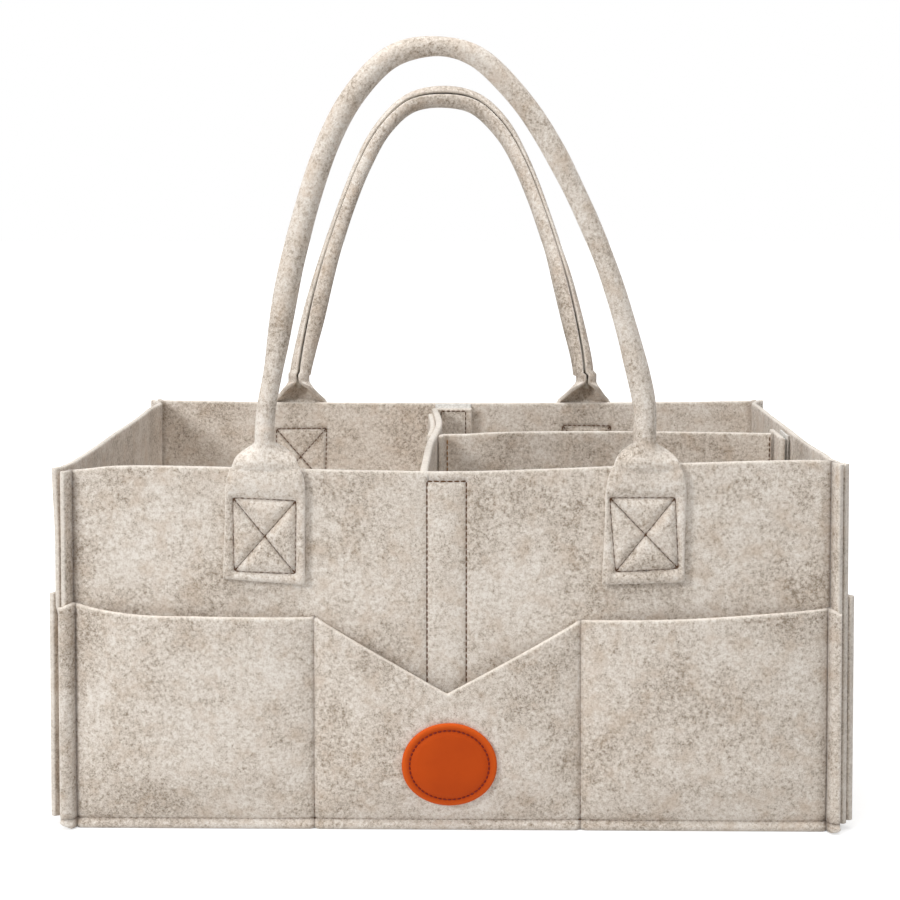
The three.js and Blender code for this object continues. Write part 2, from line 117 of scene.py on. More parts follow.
def ripple(place: Vector, length: float, seed: float = 0.0) -> float:
    """Smooth noise from about -1 to 1 whose features have this length, in mm."""
    return 2 * noise.noise(place / length + Vector((seed, 1.7 * seed, -seed)))


@dataclass(frozen=True)
class Profile:
    """A value that changes smoothly along a line, through pairs of place and value."""

    knots: tuple[tuple[float, float], ...]

    def slope(self, index: int) -> float:
        """The slope at a knot, from its neighbours."""
        first = max(index - 1, 0)
        last = min(index + 1, len(self.knots) - 1)
        run = self.knots[last][0] - self.knots[first][0]
        return (self.knots[last][1] - self.knots[first][1]) / run

    def at(self, place: float) -> float:
        """The value at a place along the line, held beyond the ends."""
        if place <= self.knots[0][0]:
            return self.knots[0][1]
        if place >= self.knots[-1][0]:
            return self.knots[-1][1]
        index = bisect_right([knot[0] for knot in self.knots], place) - 1
        (x0, y0), (x1, y1) = self.knots[index], self.knots[index + 1]
        run = x1 - x0
        share = (place - x0) / run
        bend = self.slope(index) * run * share * (1 - share) ** 2
        bend -= self.slope(index + 1) * run * share ** 2 * (1 - share)
        return lerp(y0, y1, smooth(share)) + bend


# The caddy's own sizes, as the frame has them


@dataclass(frozen=True)
class CaddySizes:
    """Sizes of the felt body that several pieces share, in mm."""

    half_length: float = 190.0
    half_depth: float = 123.5
    height: float = 178.0
    foot_spread: float = 3.7
    felt: float = 3.0
    gap: float = 0.3
    seam_inset: float = 8.1
    corner_lip: float = 5.5
    corner_lip_angle: float = math.pi / 3
    corner_ease: float = 0.6
    end_wall_x: float = 180.97
    left_seam: float = -65.0
    right_seam: float = 62.0
    foot_seam: float = 4.6
    strip_left: float = -11.2
    strip_right: float = 7.5
    strip_top: float = 171.1
    strip_bottom: float = 15.0

    @property
    def layer(self) -> float:
        """One sheet of felt and the gap to the next."""
        return self.felt + self.gap

    @property
    def panel_y(self) -> float:
        """Where the middle of the front wall's felt stands."""
        return self.half_depth - self.felt / 2

    @property
    def groove_x(self) -> float:
        """Where the corner seams are sewn."""
        return self.half_length - self.seam_inset


SIZES = CaddySizes()


def lean(place: Vector) -> Vector:
    """Spreads a place outwards a little towards the foot of the caddy."""
    share = SIZES.foot_spread / SIZES.half_length * max(0.0, 1 - place.z / SIZES.height)
    return Vector((place.x * (1 + share), place.y, place.z))


# Lines seen from above


def offset_line(points: Sequence[Vector], distance: float) -> list[Vector]:
    """Moves a line sideways, with mitred corners.

    Args:
        points: the line's corners, seen from above.
        distance: how far to its right, in mm.

    Returns:
        The moved line's corners.
    """
    moved = []
    for i, point in enumerate(points):
        arriving = (point - points[max(i - 1, 0)]).normalized() if i else None
        leaving = (points[i + 1] - point).normalized() if i + 1 < len(points) else arriving
        first = arriving or leaving
        normal = Vector((first.y + leaving.y, -first.x - leaving.x)).normalized()
        mitre = max(normal.dot(Vector((first.y, -first.x))), 0.3)
        moved.append(point + normal * (distance / mitre))
    return moved


def rounded_line(points: Sequence[Vector], reach: float, steps: int = 6) -> list[Vector]:
    """Rounds a line's inner corners.

    Args:
        points: the line's corners.
        reach: how far from each corner its curve starts, in mm.
        steps: how many short pieces make each curve.

    Returns:
        The rounded line's points.
    """
    out = [points[0].copy()]
    for before, corner, after in zip(points, points[1:], points[2:]):
        start = corner + (before - corner).normalized() * reach
        end = corner + (after - corner).normalized() * reach
        for k in range(steps + 1):
            share = k / steps
            out.append(start.lerp(corner, share).lerp(corner.lerp(end, share), share))
    return [*out, points[-1].copy()]


class Line:
    """A line seen from above that is measured along its length."""

    def __init__(self, points: Sequence[Vector]) -> None:
        """Measures the line through these points."""
        self.points = list(points)
        self.marks = [0.0]
        for start, end in zip(points, points[1:]):
            self.marks.append(self.marks[-1] + (end - start).length)
        self.length = self.marks[-1]

    def at(self, along: float) -> Vector:
        """The point this far along the line."""
        index = min(max(bisect_right(self.marks, along) - 1, 0), len(self.points) - 2)
        span = self.marks[index + 1] - self.marks[index]
        return self.points[index].lerp(self.points[index + 1], (along - self.marks[index]) / span)

    def along(self, wanted: Callable[[Vector], float]) -> float:
        """How far along the line a measure of its points first reaches zero."""
        steps = 2000
        for k in range(steps + 1):
            if wanted(self.at(self.length * k / steps)) >= 0:
                return self.length * k / steps
        return self.length


# Sheets of felt and tape

EDGE_ROUND = ((0.0, 0.56), (0.25, 0.8), (0.7, 0.94), (1.4, 1.0))
CUT_EDGE_REACH = 1.1
SEAM_MARKS = (-2.4, -1.2, -0.5, 0.0, 0.5, 1.2, 2.4)
LEAST_STEP = 0.2


def spread_marks(length: float, step: float, fine: Sequence[float] = ()) -> list[float]:
    """Marks along a length, close together at both cut edges and round fine lines.

    Args:
        length: the whole length, in mm.
        step: the usual distance between marks, in mm.
        fine: places where the felt is pulled in by a seam, in mm.

    Returns:
        The marks in order, from 0 to the length.
    """
    edge = [distance for distance, _ in EDGE_ROUND]
    fixed = {*edge, *(length - distance for distance in edge)}
    for centre in fine:
        fixed |= {centre + shift for shift in SEAM_MARKS}
    kept: list[float] = []
    for mark in sorted(m for m in fixed if 0 <= m <= length):
        if not kept or mark - kept[-1] > LEAST_STEP:
            kept.append(mark)
    marks = [kept[0]]
    for start, end in zip(kept, kept[1:]):
        count = max(1, round((end - start) / step))
        marks += [lerp(start, end, k / count) for k in range(1, count + 1)]
    return marks


def settled(piece: Object) -> Object:
    """Applies a piece's modifiers, so that its mesh is final, with its faces outwards."""
    depsgraph = bpy.context.evaluated_depsgraph_get()
    mesh = bpy.data.meshes.new_from_object(
        piece.evaluated_get(depsgraph), preserve_all_data_layers=True, depsgraph=depsgraph
    )
    rough = piece.data
    piece.modifiers.clear()
    piece.data = mesh
    bpy.data.meshes.remove(rough)
    mesh.name = piece.name
    shaped = bmesh.new()
    shaped.from_mesh(mesh)
    bmesh.ops.recalc_face_normals(shaped, faces=shaped.faces)
    shaped.to_mesh(mesh)
    shaped.free()
    return piece


def piece_from(name: str, shaped: Mesh, finish: Material) -> Object:
    """Makes a shaped mesh a smooth piece with a finish.

    Args:
        name: the piece's name.
        shaped: its mesh in metres, which is freed.
        finish: its material.

    Returns:
        The new object, in the scene.
    """
    mesh = bpy.data.meshes.new(name)
    for face in shaped.faces:
        face.smooth = True
    shaped.to_mesh(mesh)
    shaped.free()
    mesh.materials.append(finish)
    piece = bpy.data.objects.new(name, mesh)
    bpy.context.scene.collection.objects.link(piece)
    return piece


def skin(rings: Sequence[Sequence[Vector]], cut: Sequence[float] = ()) -> Mesh:
    """Joins rings of points into a closed skin.

    Args:
        rings: the rings in order, all with as many points, in mm.
        cut: how far each ring shows a cut edge, from 0 to 1, where any does.

    Returns:
        The skin, in metres.
    """
    sides, spans = len(rings[0]), len(rings) - 1
    shaped = bmesh.new()
    bmesh.ops.create_grid(shaped, x_segments=sides, y_segments=spans, size=1.0)
    edge = shaped.verts.layers.float.new("cut_edge") if cut else None
    for corner in shaped.verts:
        i = round((corner.co.x + 1) / 2 * sides) % sides
        j = round((corner.co.y + 1) / 2 * spans)
        if cut:
            corner[edge] = cut[j]
        corner.co = rings[j][i] * MM
    bmesh.ops.remove_doubles(shaped, verts=shaped.verts, dist=1e-6)
    bmesh.ops.holes_fill(shaped, edges=[e for e in shaped.edges if e.is_boundary], sides=0)
    bmesh.ops.recalc_face_normals(shaped, faces=shaped.faces)
    return shaped


def no_seam_shade(_across: float, _up: float) -> float:
    """No seam near, so no painted shade."""
    return 0.0


@dataclass
class Sheet:
    """A sheet cut flat, laid into place, given its thickness and soft cut edges."""

    name: str
    across: list[float]
    up: list[float]
    place: Callable[[float, float], Vector]
    thickness: float = SIZES.felt
    # Painted shade along the seams, from 0 to 1, at a place on the flat cut.
    crease: Callable[[float, float], float] = no_seam_shade

    def edge_distance(self, across: float, up: float) -> float:
        """How far a place on the flat cut is from its nearest edge, in mm."""
        return min(
            across - self.across[0], self.across[-1] - across, up - self.up[0], self.up[-1] - up
        )

    def build(self, finish: Material) -> Object:
        """Lays the sheet.

        Args:
            finish: the sheet's material.

        Returns:
            The finished piece.
        """
        columns, rows = len(self.across) - 1, len(self.up) - 1
        shaped = bmesh.new()
        bmesh.ops.create_grid(shaped, x_segments=columns, y_segments=rows, size=1.0)
        edge = shaped.verts.layers.float.new("cut_edge")
        # Each corner keeps how near a cut edge it is and how much painted shade its seams give it.
        crease = shaped.verts.layers.float.new("seam_crease")
        weights = shaped.verts.layers.deform.verify()
        rounding = Profile(EDGE_ROUND)
        for corner in shaped.verts:
            across = self.across[round((corner.co.x + 1) / 2 * columns)]
            up = self.up[round((corner.co.y + 1) / 2 * rows)]
            distance = self.edge_distance(across, up)
            corner[edge] = 1 - smooth(distance / CUT_EDGE_REACH)
            corner[crease] = self.crease(across, up)
            corner[weights][0] = rounding.at(distance)
            corner.co = self.place(across, up) * MM
        piece = piece_from(self.name, shaped, finish)
        piece.vertex_groups.new(name="edge_round")
        wall = piece.modifiers.new("felt", "SOLIDIFY")
        wall.thickness = self.thickness * MM
        wall.offset = 0.0
        wall.use_even_offset = True
        wall.vertex_group = "edge_round"
        return settled(piece)


def on_body(
    piece: Object,
    body: Body,
    nodes: Sequence[str] = (),
) -> Object:
    """Sets a piece on its body and hides the frame's nodes that it stands for.

    Args:
        piece: the finished piece.
        body: the body that it rides on.
        nodes: the frame's nodes that it replaces.

    Returns:
        The same piece.
    """
    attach(piece, body.value)
    if nodes:
        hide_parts(*nodes)
    return piece


# Thread


@dataclass
class Stitching:
    """Lines of lockstitch sewn through felt, as one piece."""

    name: str
    body: Body
    finish: Material
    pitch: float = 3.0
    gap: float = 0.75
    thread: float = 0.62
    placed: list[Matrix] = field(default_factory=list)

    def stitch(self, start: Vector, end: Vector) -> None:
        """Lays one stitch: a plump length of thread that goes into the felt at both ends."""
        direction = end - start
        turn = direction.to_track_quat("Z", "Y").to_matrix().to_4x4()
        size = Matrix.Diagonal((self.thread / 2, self.thread / 2, direction.length / 2, 1))
        self.placed.append(Matrix.Translation((start + end) / 2 * MM) @ turn @ size)

    def run(self, corners: Sequence[Vector], closed: bool = False) -> None:
        """Sews along a line.

        Args:
            corners: the line's points on the felt's face, in mm.
            closed: whether it ends where it starts.
        """
        line = Line([*corners, corners[0]] if closed else corners)
        count = max(1, round(line.length / self.pitch))
        for k in range(count):
            start, end = line.length * k / count, line.length * (k + 1) / count
            self.stitch(line.at(start + self.gap / 2), line.at(end - self.gap / 2))

    def sew(self) -> Object:
        """Copies one stitch to every place, and returns the seam on its body."""
        shaped = bmesh.new()
        bmesh.ops.create_uvsphere(shaped, u_segments=6, v_segments=5, radius=MM)
        single = bpy.data.meshes.new("single_stitch")
        shaped.to_mesh(single)
        shaped.clear()
        for place in self.placed:
            single.transform(place)
            shaped.from_mesh(single)
            single.transform(place.inverted())
        bpy.data.meshes.remove(single)
        log.info("%s: %d stitches", self.name, len(self.placed))
        return on_body(piece_from(self.name, shaped, self.finish), self.body)


# Finishes


def linear(hex_colour: str) -> tuple[float, float, float, float]:
    """Turns an sRGB hex colour into linear light, with full opacity."""
    parts = [int(hex_colour[i:i + 2], 16) / 255 for i in (1, 3, 5)]
    light = [p / 12.92 if p <= 0.04045 else ((p + 0.055) / 1.055) ** 2.4 for p in parts]
    return (*light, 1.0)


def add_node(
    tree: bpy.types.NodeTree, kind: str, sockets: dict, **settings: str
) -> bpy.types.Node:
    """Adds a node to a material or to the world.

    Args:
        tree: the node tree.
        kind: the node's type, less the word ShaderNode.
        sockets: its inputs by name or number, each a value or another node's output.
        settings: its own properties.

    Returns:
        The new node.
    """
    node = tree.nodes.new(f"ShaderNode{kind}")
    for name, value in settings.items():
        setattr(node, name, value)
    for name, value in sockets.items():
        if isinstance(value, Socket):
            tree.links.new(value, node.inputs[name])
        else:
            node.inputs[name].default_value = value
    return node


class Paint:
    """A material under way, to which each call adds a step."""

    def __init__(self, name: str) -> None:
        """Starts an empty material in the piece's own space."""
        self.material = bpy.data.materials.new(name)
        self.material.use_nodes = True
        self.tree = self.material.node_tree
        self.tree.nodes.clear()
        self.place = add_node(self.tree, "TexCoord", {}).outputs["Object"]

    def noise(self, size_mm: float, detail: float, roughness: float = 0.5) -> Socket:
        """Noise whose largest features have this size."""
        return add_node(self.tree, "TexNoise", {
            "Vector": self.place, "Scale": 1 / (size_mm * MM), "Detail": detail,
            "Roughness": roughness,
        }).outputs[0]

    def cells(self, size_mm: float, feature: str = "F1") -> Socket:
        """How far the middle of the nearest of many small cells is."""
        sockets = {"Vector": self.place, "Scale": 1 / (size_mm * MM)}
        return add_node(self.tree, "TexVoronoi", sockets, feature=feature).outputs["Distance"]

    def sum(self, operation: str, *values: "float | Socket") -> Socket:
        """A sum with two or three values."""
        return add_node(self.tree, "Math", dict(enumerate(values)), operation=operation).outputs[0]

    def spread(self, value: Socket, *ends: float) -> Socket:
        """Stretches a value to a new range, given the old range's ends and the new one's."""
        return add_node(self.tree, "MapRange", dict(enumerate((value, *ends)))).outputs[0]

    def mark(self, name: str, share: float) -> Socket:
        """A share of a mark that the mesh carries for its cut edges or for the painted shade along
        its seams.
        """
        mark = add_node(self.tree, "Attribute", {}, attribute_name=name)
        return self.sum("MULTIPLY", mark.outputs["Fac"], share)

    def mix(self, share: Socket, *colours: "str | Socket") -> Socket:
        """Mixes two colours, each a hex colour or another node's output."""
        first, second = (linear(c) if isinstance(c, str) else c for c in colours)
        sockets = {0: share, 6: first, 7: second}
        return add_node(self.tree, "Mix", sockets, data_type="RGBA").outputs[2]

    def bump(self, height: Socket, strength: float, depth_mm: float) -> Socket:
        """The normals of a surface with small bumps."""
        return add_node(self.tree, "Bump", {
            "Strength": strength, "Distance": depth_mm * MM, "Height": height,
        }).outputs[0]

    def end(self, shader: bpy.types.Node) -> Material:
        """Joins a shader to the material's output and returns the material."""
        add_node(self.tree, "OutputMaterial", {"Surface": shader.outputs[0]})
        return self.material

    def surface(
        self, colour: Socket, roughness: float, gloss: float, **more: "float | Socket"
    ) -> Material:
        """Ends the material as a surface.

        Args:
            colour: its colour.
            roughness: its roughness.
            gloss: its specular level.
            more: its other inputs, with _ for a space.

        Returns:
            The material.
        """
        sockets = {"Base Color": colour, "Roughness": roughness, "Specular IOR Level": gloss}
        sockets |= {name.replace("_", " "): value for name, value in more.items()}
        return self.end(add_node(self.tree, "BsdfPrincipled", sockets))


@dataclass(frozen=True)
class NeedledFelt:
    """Oatmeal felt of mixed pale and brown fibres, matted by needles.

    The eye sees a fine salt-and-pepper grain in soft clouds, no gloss and a paler
    line where the sheet is cut; along its seams a painted shade darkens it where the crease lies
    in shadow.
    """

    cloud_mm: float = 38.0
    tint_mm: float = 11.0
    cloud_share: float = 0.8
    grain_mm: float = 1.8
    grain_share: float = 1.1
    pill_mm: float = 0.9
    dark: str = "#938473"
    middle: str = "#D4C8BB"
    pale: str = "#EFE8DF"
    stops: tuple[float, float, float] = (0.27, 0.47, 0.68)
    warm: str = "#C9B39D"
    cut: str = "#EDE6DC"
    cut_share: float = 0.5
    # Painted shade: the dark colour mixed in along the seams, where their creases lie in shadow.
    seam_shade_colour: str = "#4A3320"
    seam_shade_share: float = 0.75

    def material(self) -> Material:
        """Makes the felt's material."""
        paint = Paint("needled_oatmeal_felt")
        # One noise runs from clouds down to tufts, and a second one is the fibres' grain.
        level = 0.5 - (self.cloud_share + self.grain_share) / 2
        mottle = paint.noise(self.cloud_mm, 6.0, 0.82)
        clouds = paint.sum("MULTIPLY_ADD", mottle, self.cloud_share, level)
        grain = paint.noise(self.grain_mm, 3.0, 0.95)
        fibres = paint.sum("MULTIPLY_ADD", grain, self.grain_share, clouds)
        tone = add_node(paint.tree, "ValToRGB", {0: fibres})
        low, middle, high = self.stops
        ends = tone.color_ramp.elements
        ends[0].position, ends[0].color = low, linear(self.dark)
        ends[1].position, ends[1].color = high, linear(self.pale)
        ends.new(middle).color = linear(self.middle)
        tint = paint.spread(paint.noise(self.tint_mm, 3.0, 0.6), 0.5, 0.75, 0.0, 0.5)
        colour = paint.mix(tint, tone.outputs[0], self.warm)
        colour = paint.mix(paint.mark("cut_edge", self.cut_share), colour, self.cut)
        # Painted shade: felt that a seam presses together is darkened, standing for the shadow in
        # its crease.
        colour = paint.mix(paint.mark("seam_crease", self.seam_shade_share), colour, self.seam_shade_colour)
        pills = paint.bump(
            paint.noise(self.pill_mm, 3.0, 0.65), strength=0.55, depth_mm=0.35
        )
        return paint.surface(
            colour, roughness=0.95, gloss=0.15, Normal=pills, Sheen_Weight=0.18,
            Sheen_Roughness=0.55,
        )


@dataclass(frozen=True)
class SmoothLeather:
    """Finished leather: dyed orange-brown, with a fine pressed grain and a soft shine."""

    grain_mm: float = 0.55
    shade_mm: float = 16.0
    deep: str = "#B8430A"
    bright: str = "#CB500E"
    edge: str = "#D85A14"

    def material(self) -> Material:
        """Makes the leather's material."""
        paint = Paint("dyed_smooth_leather")
        tone = paint.mix(paint.noise(self.shade_mm, 4.0, 0.6), self.deep, self.bright)
        colour = paint.mix(paint.mark("cut_edge", 1.0), tone, self.edge)
        grain = paint.bump(paint.cells(self.grain_mm), strength=0.18, depth_mm=0.08)
        return paint.surface(colour, roughness=0.6, gloss=0.15, Normal=grain)


@dataclass(frozen=True)
class TwistedThread:
    """Polyester sewing thread: two plies whose twist shows as a fine light and dark."""

    name: str
    colour: str
    light: str
    ply_mm: float = 0.5

    def material(self) -> Material:
        """Makes the thread's material."""
        paint = Paint(self.name)
        tone = paint.mix(paint.noise(self.ply_mm, 2.0), self.colour, self.light)
        return paint.surface(tone, roughness=0.6, gloss=0.3)


@dataclass(frozen=True)
class WovenTape:
    """Nylon hook and loop tape: off-white, with rows of tiny hooks on a close weave."""

    row_mm: float = 1.3
    pale: str = "#ECEAE6"
    shade: str = "#D2CEC8"

    def material(self) -> Material:
        """Makes the tape's material."""
        paint = Paint("woven_nylon_tape")
        # The hooks' rows are drawn coarser than real, so that they show.
        hooks = paint.cells(self.row_mm, "SMOOTH_F1")
        colour = paint.mix(paint.spread(hooks, 0.1, 0.7, 0.0, 1.0), self.pale, self.shade)
        weave = paint.bump(hooks, strength=0.6, depth_mm=0.4)
        return paint.surface(colour, roughness=0.7, gloss=0.3, Normal=weave)


@dataclass(frozen=True)
class CottonCord:
    """Undyed cotton cord: dull off-white yarn with a soft fuzz."""

    yarn_mm: float = 0.8
    pale: str = "#EFEBE2"
    shade: str = "#CFC8BA"

    def material(self) -> Material:
        """Makes the cord's material."""
        paint = Paint("undyed_cotton_cord")
        tone = paint.mix(paint.noise(self.yarn_mm, 4.0), self.shade, self.pale)
        return paint.surface(tone, roughness=0.9, gloss=0.2, Sheen_Weight=0.2)


class Finishes:
    """Every material of the caddy."""

    def __init__(self) -> None:
        """Makes the materials."""
        self.felt = NeedledFelt().material()
        self.leather = SmoothLeather().material()
        self.tape = WovenTape().material()
        self.cord = CottonCord().material()
        self.brown_thread = TwistedThread("brown_sewing_thread", "#3A2616", "#6E4C30").material()
        self.golden_thread = TwistedThread("golden_brown_thread", "#7A4A1E", "#B0803F").material()
        self.red_thread = TwistedThread("dark_red_thread", "#5E0F09", "#8A2114").material()


# Sheets that stand on an edge


@dataclass
class StandingSheet:
    """A sheet of felt that stands on one edge along a line seen from above."""

    name: str
    line: Line
    bottom: Callable[[Vector], float]
    top: Callable[[Vector], float]
    push: Callable[[Vector, float], Vector]
    thickness: float = SIZES.felt
    step: float = 4.0
    fine_along: Sequence[float] = ()
    fine_up: Sequence[float] = ()
    leans: bool = True
    nominal: float = SIZES.height
    # Painted shade along the seams, from 0 to 1, at an x and a height.
    crease: Callable[[float, float], float] = no_seam_shade

    def height(self, point: Vector, up: float) -> float:
        """How high a place on the flat cut stands, in mm."""
        bottom, top = self.bottom(point), self.top(point)
        return bottom + up + (top - bottom - self.nominal) * smooth(up / self.nominal)

    def place(self, along: float, up: float) -> Vector:
        """Where a place on the flat cut stands, in mm."""
        point = self.line.at(along)
        z = self.height(point, up)
        push = self.push(point, z)
        where = Vector((point.x + push.x, point.y + push.y, z))
        return lean(where) if self.leans else where

    def seam_shade_at(self, along: float, up: float) -> float:
        """How much painted shade a place on the flat cut gets from the seams near it, from 0 to 1.
        """
        point = self.line.at(along)
        return self.crease(point.x, self.height(point, up))

    def build(self, finish: Material) -> Object:
        """Lays the sheet and returns its piece."""
        sheet = Sheet(
            name=self.name,
            across=spread_marks(self.line.length, self.step, self.fine_along),
            up=spread_marks(self.nominal, self.step, self.fine_up),
            place=self.place,
            thickness=self.thickness,
            crease=self.seam_shade_at,
        )
        return sheet.build(finish)


@dataclass(frozen=True)
class Cut:
    """What a sheet's flat cut measures, in metres, and how it is held."""

    flat: tuple[float, float]
    held: str


def stand(sheet: StandingSheet, finishes: Finishes, body: Body) -> None:
    """Builds a sheet of felt on its body, standing on the base."""
    node = sheet.name.removesuffix("_felt")
    piece = on_body(sheet.build(finishes.felt), body, [node])


def still(_point: Vector, _height: float) -> Vector:
    """No push."""
    return Vector((0.0, 0.0))


def leaning(_point: Vector, z: float) -> Vector:
    """The push of a piece that stands along the right wall."""
    return Vector((end_lean(z, 1), 0.0))


def turned(line: Sequence[Vector]) -> list[Vector]:
    """A line turned half round the caddy's middle."""
    return [Vector((-point.x, -point.y)) for point in line]


def corner_lines() -> tuple[list[Vector], list[Vector]]:
    """The lines of the front wall and of the right wall, whose lips turn out together."""
    lip_x = SIZES.groove_x + SIZES.corner_lip * math.cos(SIZES.corner_lip_angle)
    lip_y = SIZES.panel_y + SIZES.corner_lip * math.sin(SIZES.corner_lip_angle)
    front = [
        Vector((-lip_x, -lip_y)),
        Vector((-SIZES.groove_x, -SIZES.panel_y)),
        Vector((SIZES.groove_x, -SIZES.panel_y)),
        Vector((lip_x, -lip_y)),
    ]
    turn, tip = offset_line(front, -SIZES.layer - SIZES.corner_ease)[2:]
    turn_y = turn.y + (turn.x - SIZES.end_wall_x) * math.tan(SIZES.corner_lip_angle)
    end = [
        tip,
        Vector((SIZES.end_wall_x, turn_y)),
        Vector((SIZES.end_wall_x, -turn_y)),
        Vector((tip.x, -tip.y)),
    ]
    return front, end


FRONT_LINE, END_LINE = corner_lines()
# The pockets' own lips fold over the walls' and hide them.
POCKET_LINE = [Vector((-186.2, -128.7)), *offset_line(FRONT_LINE, SIZES.layer)[1:-1],
               Vector((184.8, -128.9))]

# Felt isn't cut quite level: how high each rim stands along its wall, in mm.
FRONT_RIM = Profile((
    (-190.0, 177.2), (-182.0, 175.9), (-158.0, 178.0), (-105.0, 177.5), (-72.0, 176.7),
    (-10.0, 175.8), (14.0, 175.9), (52.0, 177.1), (74.0, 178.1), (111.0, 179.8),
    (164.0, 181.4), (179.0, 181.2), (190.0, 179.4),
))
BACK_RIM = Profile((
    (-190.0, 178.6), (-120.0, 177.6), (0.0, 177.2), (120.0, 177.8), (190.0, 178.8),
))
LEFT_RIM = Profile(((-125.0, 177.4), (-60.0, 177.0), (40.0, 177.0), (125.0, 178.4)))
RIGHT_RIM = Profile((
    (-125.0, 180.2), (-110.0, 180.3), (-40.0, 178.6), (60.0, 178.4), (125.0, 179.0),
))
END_LEANS, LEAN_HEIGHT = {1: 1.7, -1: 2.4}, 150.0
LIP_START, LIP_RUN = 0.2, 6.4
WALL_BEND, END_BEND = 1.6, 3.0


def end_lean(z: float, out: int) -> float:
    """How far the right (out 1) or left (out -1) end wall leans out at a height, in mm."""
    return END_LEANS[out] * smooth(z / LEAN_HEIGHT)


@dataclass(frozen=True)
class WallSeams:
    """How each seam pulls a long wall in, in mm, and how much painted shade it lays along its
    crease, up to 1.
    """

    corner: Dent = Dent(0.9, 1.4)
    corner_inset: float = 0.6
    # Painted shade at the corner seams: how dark and how wide, how far in, and how much of it the
    # back wall gets.
    corner_shade: Dent = Dent(1.0, 1.6)
    shade_inset: float = 0.9
    back_share: float = 0.35
    foot: Dent = Dent(0.6, 1.4)
    strip: Dent = Dent(0.7, 1.2)
    # Painted shade along the strip's seams.
    strip_crease: Dent = Dent(0.5, 0.8)
    strip_swell: float = 0.35
    box: Dent = Dent(0.6, 1.2)
    # Painted shade along the stitches of the back handle's boxes.
    box_shade: Dent = Dent(0.7, 0.9)
    box_low: float = 120.0
    box_high: float = 170.0
    lip: float = 1.7
    wave: float = 0.7
    wave_length: float = 85.0
    wave_rise: float = 60.0

    def strip_pull(self, x: float, z: float) -> float:
        """How far the felt is pulled in where the loop strips are sewn through it."""
        depth = 0.0
        if SIZES.strip_bottom < z < SIZES.strip_top + 3:
            for seam in (SIZES.strip_left, SIZES.strip_right):
                depth += self.strip.at(x - seam)
            share = (x - SIZES.strip_left) / (SIZES.strip_right - SIZES.strip_left)
            if 0 < share < 1:
                swell = self.strip_swell * math.sin(math.pi * share)
                depth += self.strip.at(z - SIZES.strip_top) - swell
        return depth

    def boxes(self, dent: Dent, x: float, z: float) -> float:
        """A dent along the stitches of the back handle's boxes."""
        if not self.box_low < z < self.box_high:
            return 0.0
        return max(dent.at(tab.nearest(x, z)) for tab in BACK_TABS.values())

    def waving(self, x: float, z: float, out: int) -> float:
        """How far the front (out -1) or back (out 1) wall waves in and out."""
        wave = self.wave * ripple(Vector((x, 40.0 * out, z)), self.wave_length)
        return wave * smooth(z / self.wave_rise)

    def out(self, x: float, z: float, out: int) -> float:
        """How far the felt stands off its plane with its seams pulled in."""
        depth = self.corner.at(abs(x) - SIZES.groove_x + self.corner_inset)
        depth += self.strip_pull(x, z)
        depth += self.foot.at(z - SIZES.foot_seam)
        if out > 0:
            depth -= self.boxes(self.box, x, z)
        return self.waving(x, z, out) - depth + lip_bulge(x, SIZES.groove_x, self.lip)

    def crease(self, x: float, z: float, out: int) -> float:
        """How much painted shade a place gets from the seams near it."""
        depth = self.corner_shade.at(abs(x) - SIZES.groove_x + self.shade_inset)
        depth *= 1.0 if out < 0 else self.back_share
        if SIZES.strip_bottom < z < SIZES.strip_top + 1:
            depth += self.strip_crease.at(x - SIZES.strip_left)
            depth += self.strip_crease.at(x - SIZES.strip_right)
        if SIZES.strip_left < x < SIZES.strip_right:
            depth += self.strip_crease.at(z - SIZES.strip_top)
        if out > 0:
            depth += self.boxes(self.box_shade, x, z)
        return min(depth, 1.0)

    def face(self, x: float, z: float, out: int) -> float:
        """Where the wall's outer face stands, as a y."""
        return out * (SIZES.panel_y + SIZES.felt / 2 + self.out(x, z, out))


@dataclass(frozen=True)
class Tab:
    """Where a handle's flat end is sewn on: its own corners and its box of stitches, in mm."""

    lean_top: float
    lean_bottom: float
    bottom_slope: float
    box: tuple[tuple[float, float], ...]

    def seams(self) -> list[tuple[Vector, Vector]]:
        """The box's four sides and its cross, as pairs of x and z."""
        a, b, c, d = (Vector(corner) for corner in self.box)
        return [(a, b), (b, c), (c, d), (d, a), (a, c), (d, b)]

    def nearest(self, x: float, z: float) -> float:
        """How far a place is from the nearest line of stitches, in mm."""
        where = Vector((x, z))
        nearest = 99.0
        for start, end in self.seams():
            run = end - start
            share = min(max((where - start).dot(run) / run.length_squared, 0.0), 1.0)
            nearest = min(nearest, (start + run * share - where).length)
        return nearest


FRONT_TABS = {
    "left": Tab(0.6, -0.6, -0.07, (
        (-103.6, 127.5), (-74.2, 126.3), (-73.5, 161.9), (-103.7, 163.3))),
    "right": Tab(0.8, -0.1, 0.03, (
        (78.8, 127.9), (108.7, 129.6), (106.8, 163.8), (75.7, 163.7))),
}
BACK_TABS = {
    "left": Tab(0.0, 0.0, 0.02, (
        (-111.5, 126.5), (-80.9, 126.3), (-80.0, 161.6), (-111.0, 160.9))),
    "right": Tab(-1.3, 0.0, -0.02, (
        (65.0, 126.8), (95.4, 127.0), (95.2, 163.2), (65.5, 163.4))),
}


def lip_bulge(x: float, groove: float, height: float) -> float:
    """How far a corner lip rounds out between its groove and its edge, in mm."""
    share = (abs(x) - groove - LIP_START) / LIP_RUN
    return height * math.sin(math.pi * share ** 0.5) if 0 < share < 1 else 0.0


WALL = WallSeams()


